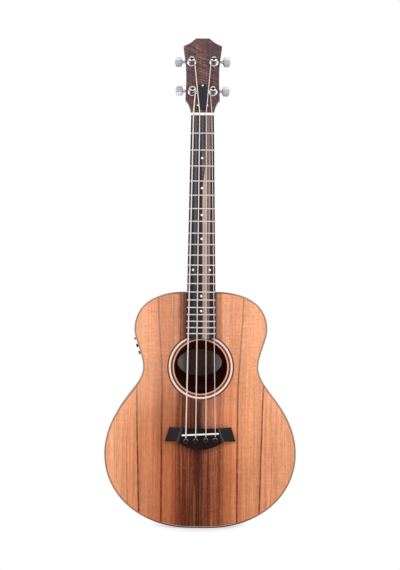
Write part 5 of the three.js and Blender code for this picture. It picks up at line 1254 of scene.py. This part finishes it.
def sidePlace(height, depth):
    # A flat frame on the bass side: backwards along the depth, out of it, and up along its slope
    outline, span = bodyHalf(0.0), controls["leanSpan"]
    below, middle, above = np.interp([height - span, height, height + span], outline[:, 1], outline[:, 0])
    lean = math.atan2(above - below, 2 * span)
    c, s = math.cos(lean), math.sin(lean)
    return lambda back, out, up: world(-middle - out * c - up * s, -depth - back, height - out * s + up * c)


def bentPlace(height, depth):
    # The same frame bent to the side: up runs along the outline, and out of it along the outline's normal
    half = bodyHalf(0.0)
    length = runLengths(half)
    slope = np.gradient(half, length, axis=0)
    start = np.interp(height, half[:, 1], length)

    def place(back, out, up):
        back, out, up = np.broadcast_arrays(back, out, up)
        x, z = (np.interp(start + up, length, half[:, k]) for k in (0, 1))
        across, rise = (np.interp(start + up, length, slope[:, k]) for k in (0, 1))
        return world(-x - out * rise, -depth - back, z - out * across)

    return place


panelPlace = sidePlace(*controls["panelAt"])
slabPiece("preampPanel", roundedBox(*controls["panel"], along=16), controls["panelLevels"],
          bentPlace(*controls["panelAt"]), "black", "preamp_panel")
slabPiece("preampCase", roundedBox(*controls["case"]), controls["caseLevels"], panelPlace, "black")
for node, up, r, finish in controls["knobs"]:
    name, place = node.replace("_", ""), lambda back, out, rise: panelPlace(back, out, rise + up)
    cap = [(1.5, -3.4), (1.5, 2.4), (r - 0.4, 2.4), (r, 2.7), (r, 4.9), (r - 0.35, 5.35), (r - 0.8, 5.5),
           (0.3, 5.5)]
    lathePiece(f"{name}Cap", cap, place, finish, node, sides=40, body=node)
    if "knob" in node:  # a short raised line that shows how far it is turned
        slabPiece(f"{name}Mark", mirrored(controls["mark"]), controls["markLevels"], place, "bone",
                  body=node, slot="black_plastic")
lathePiece("outputJack", controls["jack"], sidePlace(*controls["jackAt"]), "casing", "output_jack",
           sides=64, sharp=30, slot="black_plastic")
print("controls made")

# Camera, light and floor

view = dict(distance=2500.0, ahead=7.0, centreX=-2.5, centreZ=456.2, scale=1.873, rows=570, roll=-0.42,
            turn=-0.5)
lamps = dict(leftLight=(-1.1, -1.9, 2.0), rightLight=(1.1, -1.9, 2.0))
lamp = dict(aim=(0, 0, 0.5), size=0.9, power=18)
studio = dict(sky=0.55, white=0.97, shadowOval=(0.09, 0.1, 1.0), shadowFade=(0.35, 1.05), shadowShare=0.2,
              drop=-0.0006)

camera = newObject("camera", bpy.data.cameras.new("camera"))
turn = math.radians(view["turn"])
camera.location = ((view["centreX"] + view["distance"] * math.sin(turn)) / 1000,
                   (model["frontFace"] - view["ahead"] - view["distance"] * math.cos(turn)) / 1000,
                   view["centreZ"] / 1000)
camera.rotation_euler = (math.pi / 2, math.radians(view["roll"]), turn)
camera.data.sensor_width = 36.0
camera.data.lens = 36.0 * view["distance"] / (view["rows"] * view["scale"])
camera.data.clip_start, camera.data.clip_end = 0.05, 50
bpy.context.scene.camera = camera

for name, place in lamps.items():
    light = newObject(name, bpy.data.lights.new(name, "AREA"))
    light.data.shape, light.data.size, light.data.energy = "DISK", lamp["size"], lamp["power"]
    x, y, z = np.subtract(lamp["aim"], place)
    light.location = place
    light.rotation_euler = (math.atan2(math.hypot(x, y), -z), 0, math.atan2(y, x) - math.pi / 2)

# white all round, darker for the light that it throws than where it is seen
sky = bpy.data.worlds.new("studio")
bpy.context.scene.world = sky
sky.use_nodes = True
skyTree = Tree(sky.node_tree)
sockets = {"Value": skyTree.seen(), "To Min": studio["sky"], "To Max": 1.0}
strength = skyTree.node("ShaderNodeMapRange", None, sockets)
background = skyTree.nodes["Background"]
skyTree.feed(background.inputs["Color"], (1, 1, 1))
skyTree.feed(background.inputs["Strength"], strength)


def floorFinish():
    # Matt white that is seen as plain white, but for an oval round the tail, where its shadow shows
    f = Finish("floorWhite", roughness=0.9, specular=0.5)
    glow = f.node("ShaderNodeEmission", None, {"Strength": 1.0})
    place = f.node("ShaderNodeTexCoord", output="Object")
    oval = f.node("ShaderNodeVectorMath", dict(operation="DIVIDE"), {0: place, 1: studio["shadowOval"]})
    away = f.node("ShaderNodeVectorMath", dict(operation="LENGTH"), {0: oval}, output="Value")
    low, high = studio["shadowFade"]
    fade = f.node("ShaderNodeMapRange", None, {"Value": away, "From Min": low, "From Max": high,
                                               "To Min": studio["shadowShare"], "To Max": 1.0})
    matt = Wire(f, f.shader.outputs[0])
    blend = f.node("ShaderNodeMixShader", None, {0: f.seen() * fade, 1: matt, 2: glow})
    f.feed(f.nodes["Material Output"].inputs["Surface"], blend)
    f.feed(f.shader.inputs["Base Color"], (studio["white"],) * 3)
    return f.material


# a wide flat floor under the tail that rises smoothly behind the instrument
run = [(-6, 0), (-3, 0), (-1, 0), (0, 0), (1, 0), (2, 0), (3, 0), (3.6, 0.1), (4.1, 0.4), (4.4, 0.9),
       (4.5, 1.6), (4.5, 6)]
across, (y, rise) = np.linspace(-6, 6, 13), np.array(run, float).T[:, :, None]
points = np.stack(np.broadcast_arrays(across, y, rise + studio["drop"]), -1).reshape(-1, 3)
newObject("floor", newMesh("floor", points, [gridFaces(len(run), len(across))], floorFinish()))
bpy.context.scene.view_settings.view_transform = "Standard"
print("stage made")
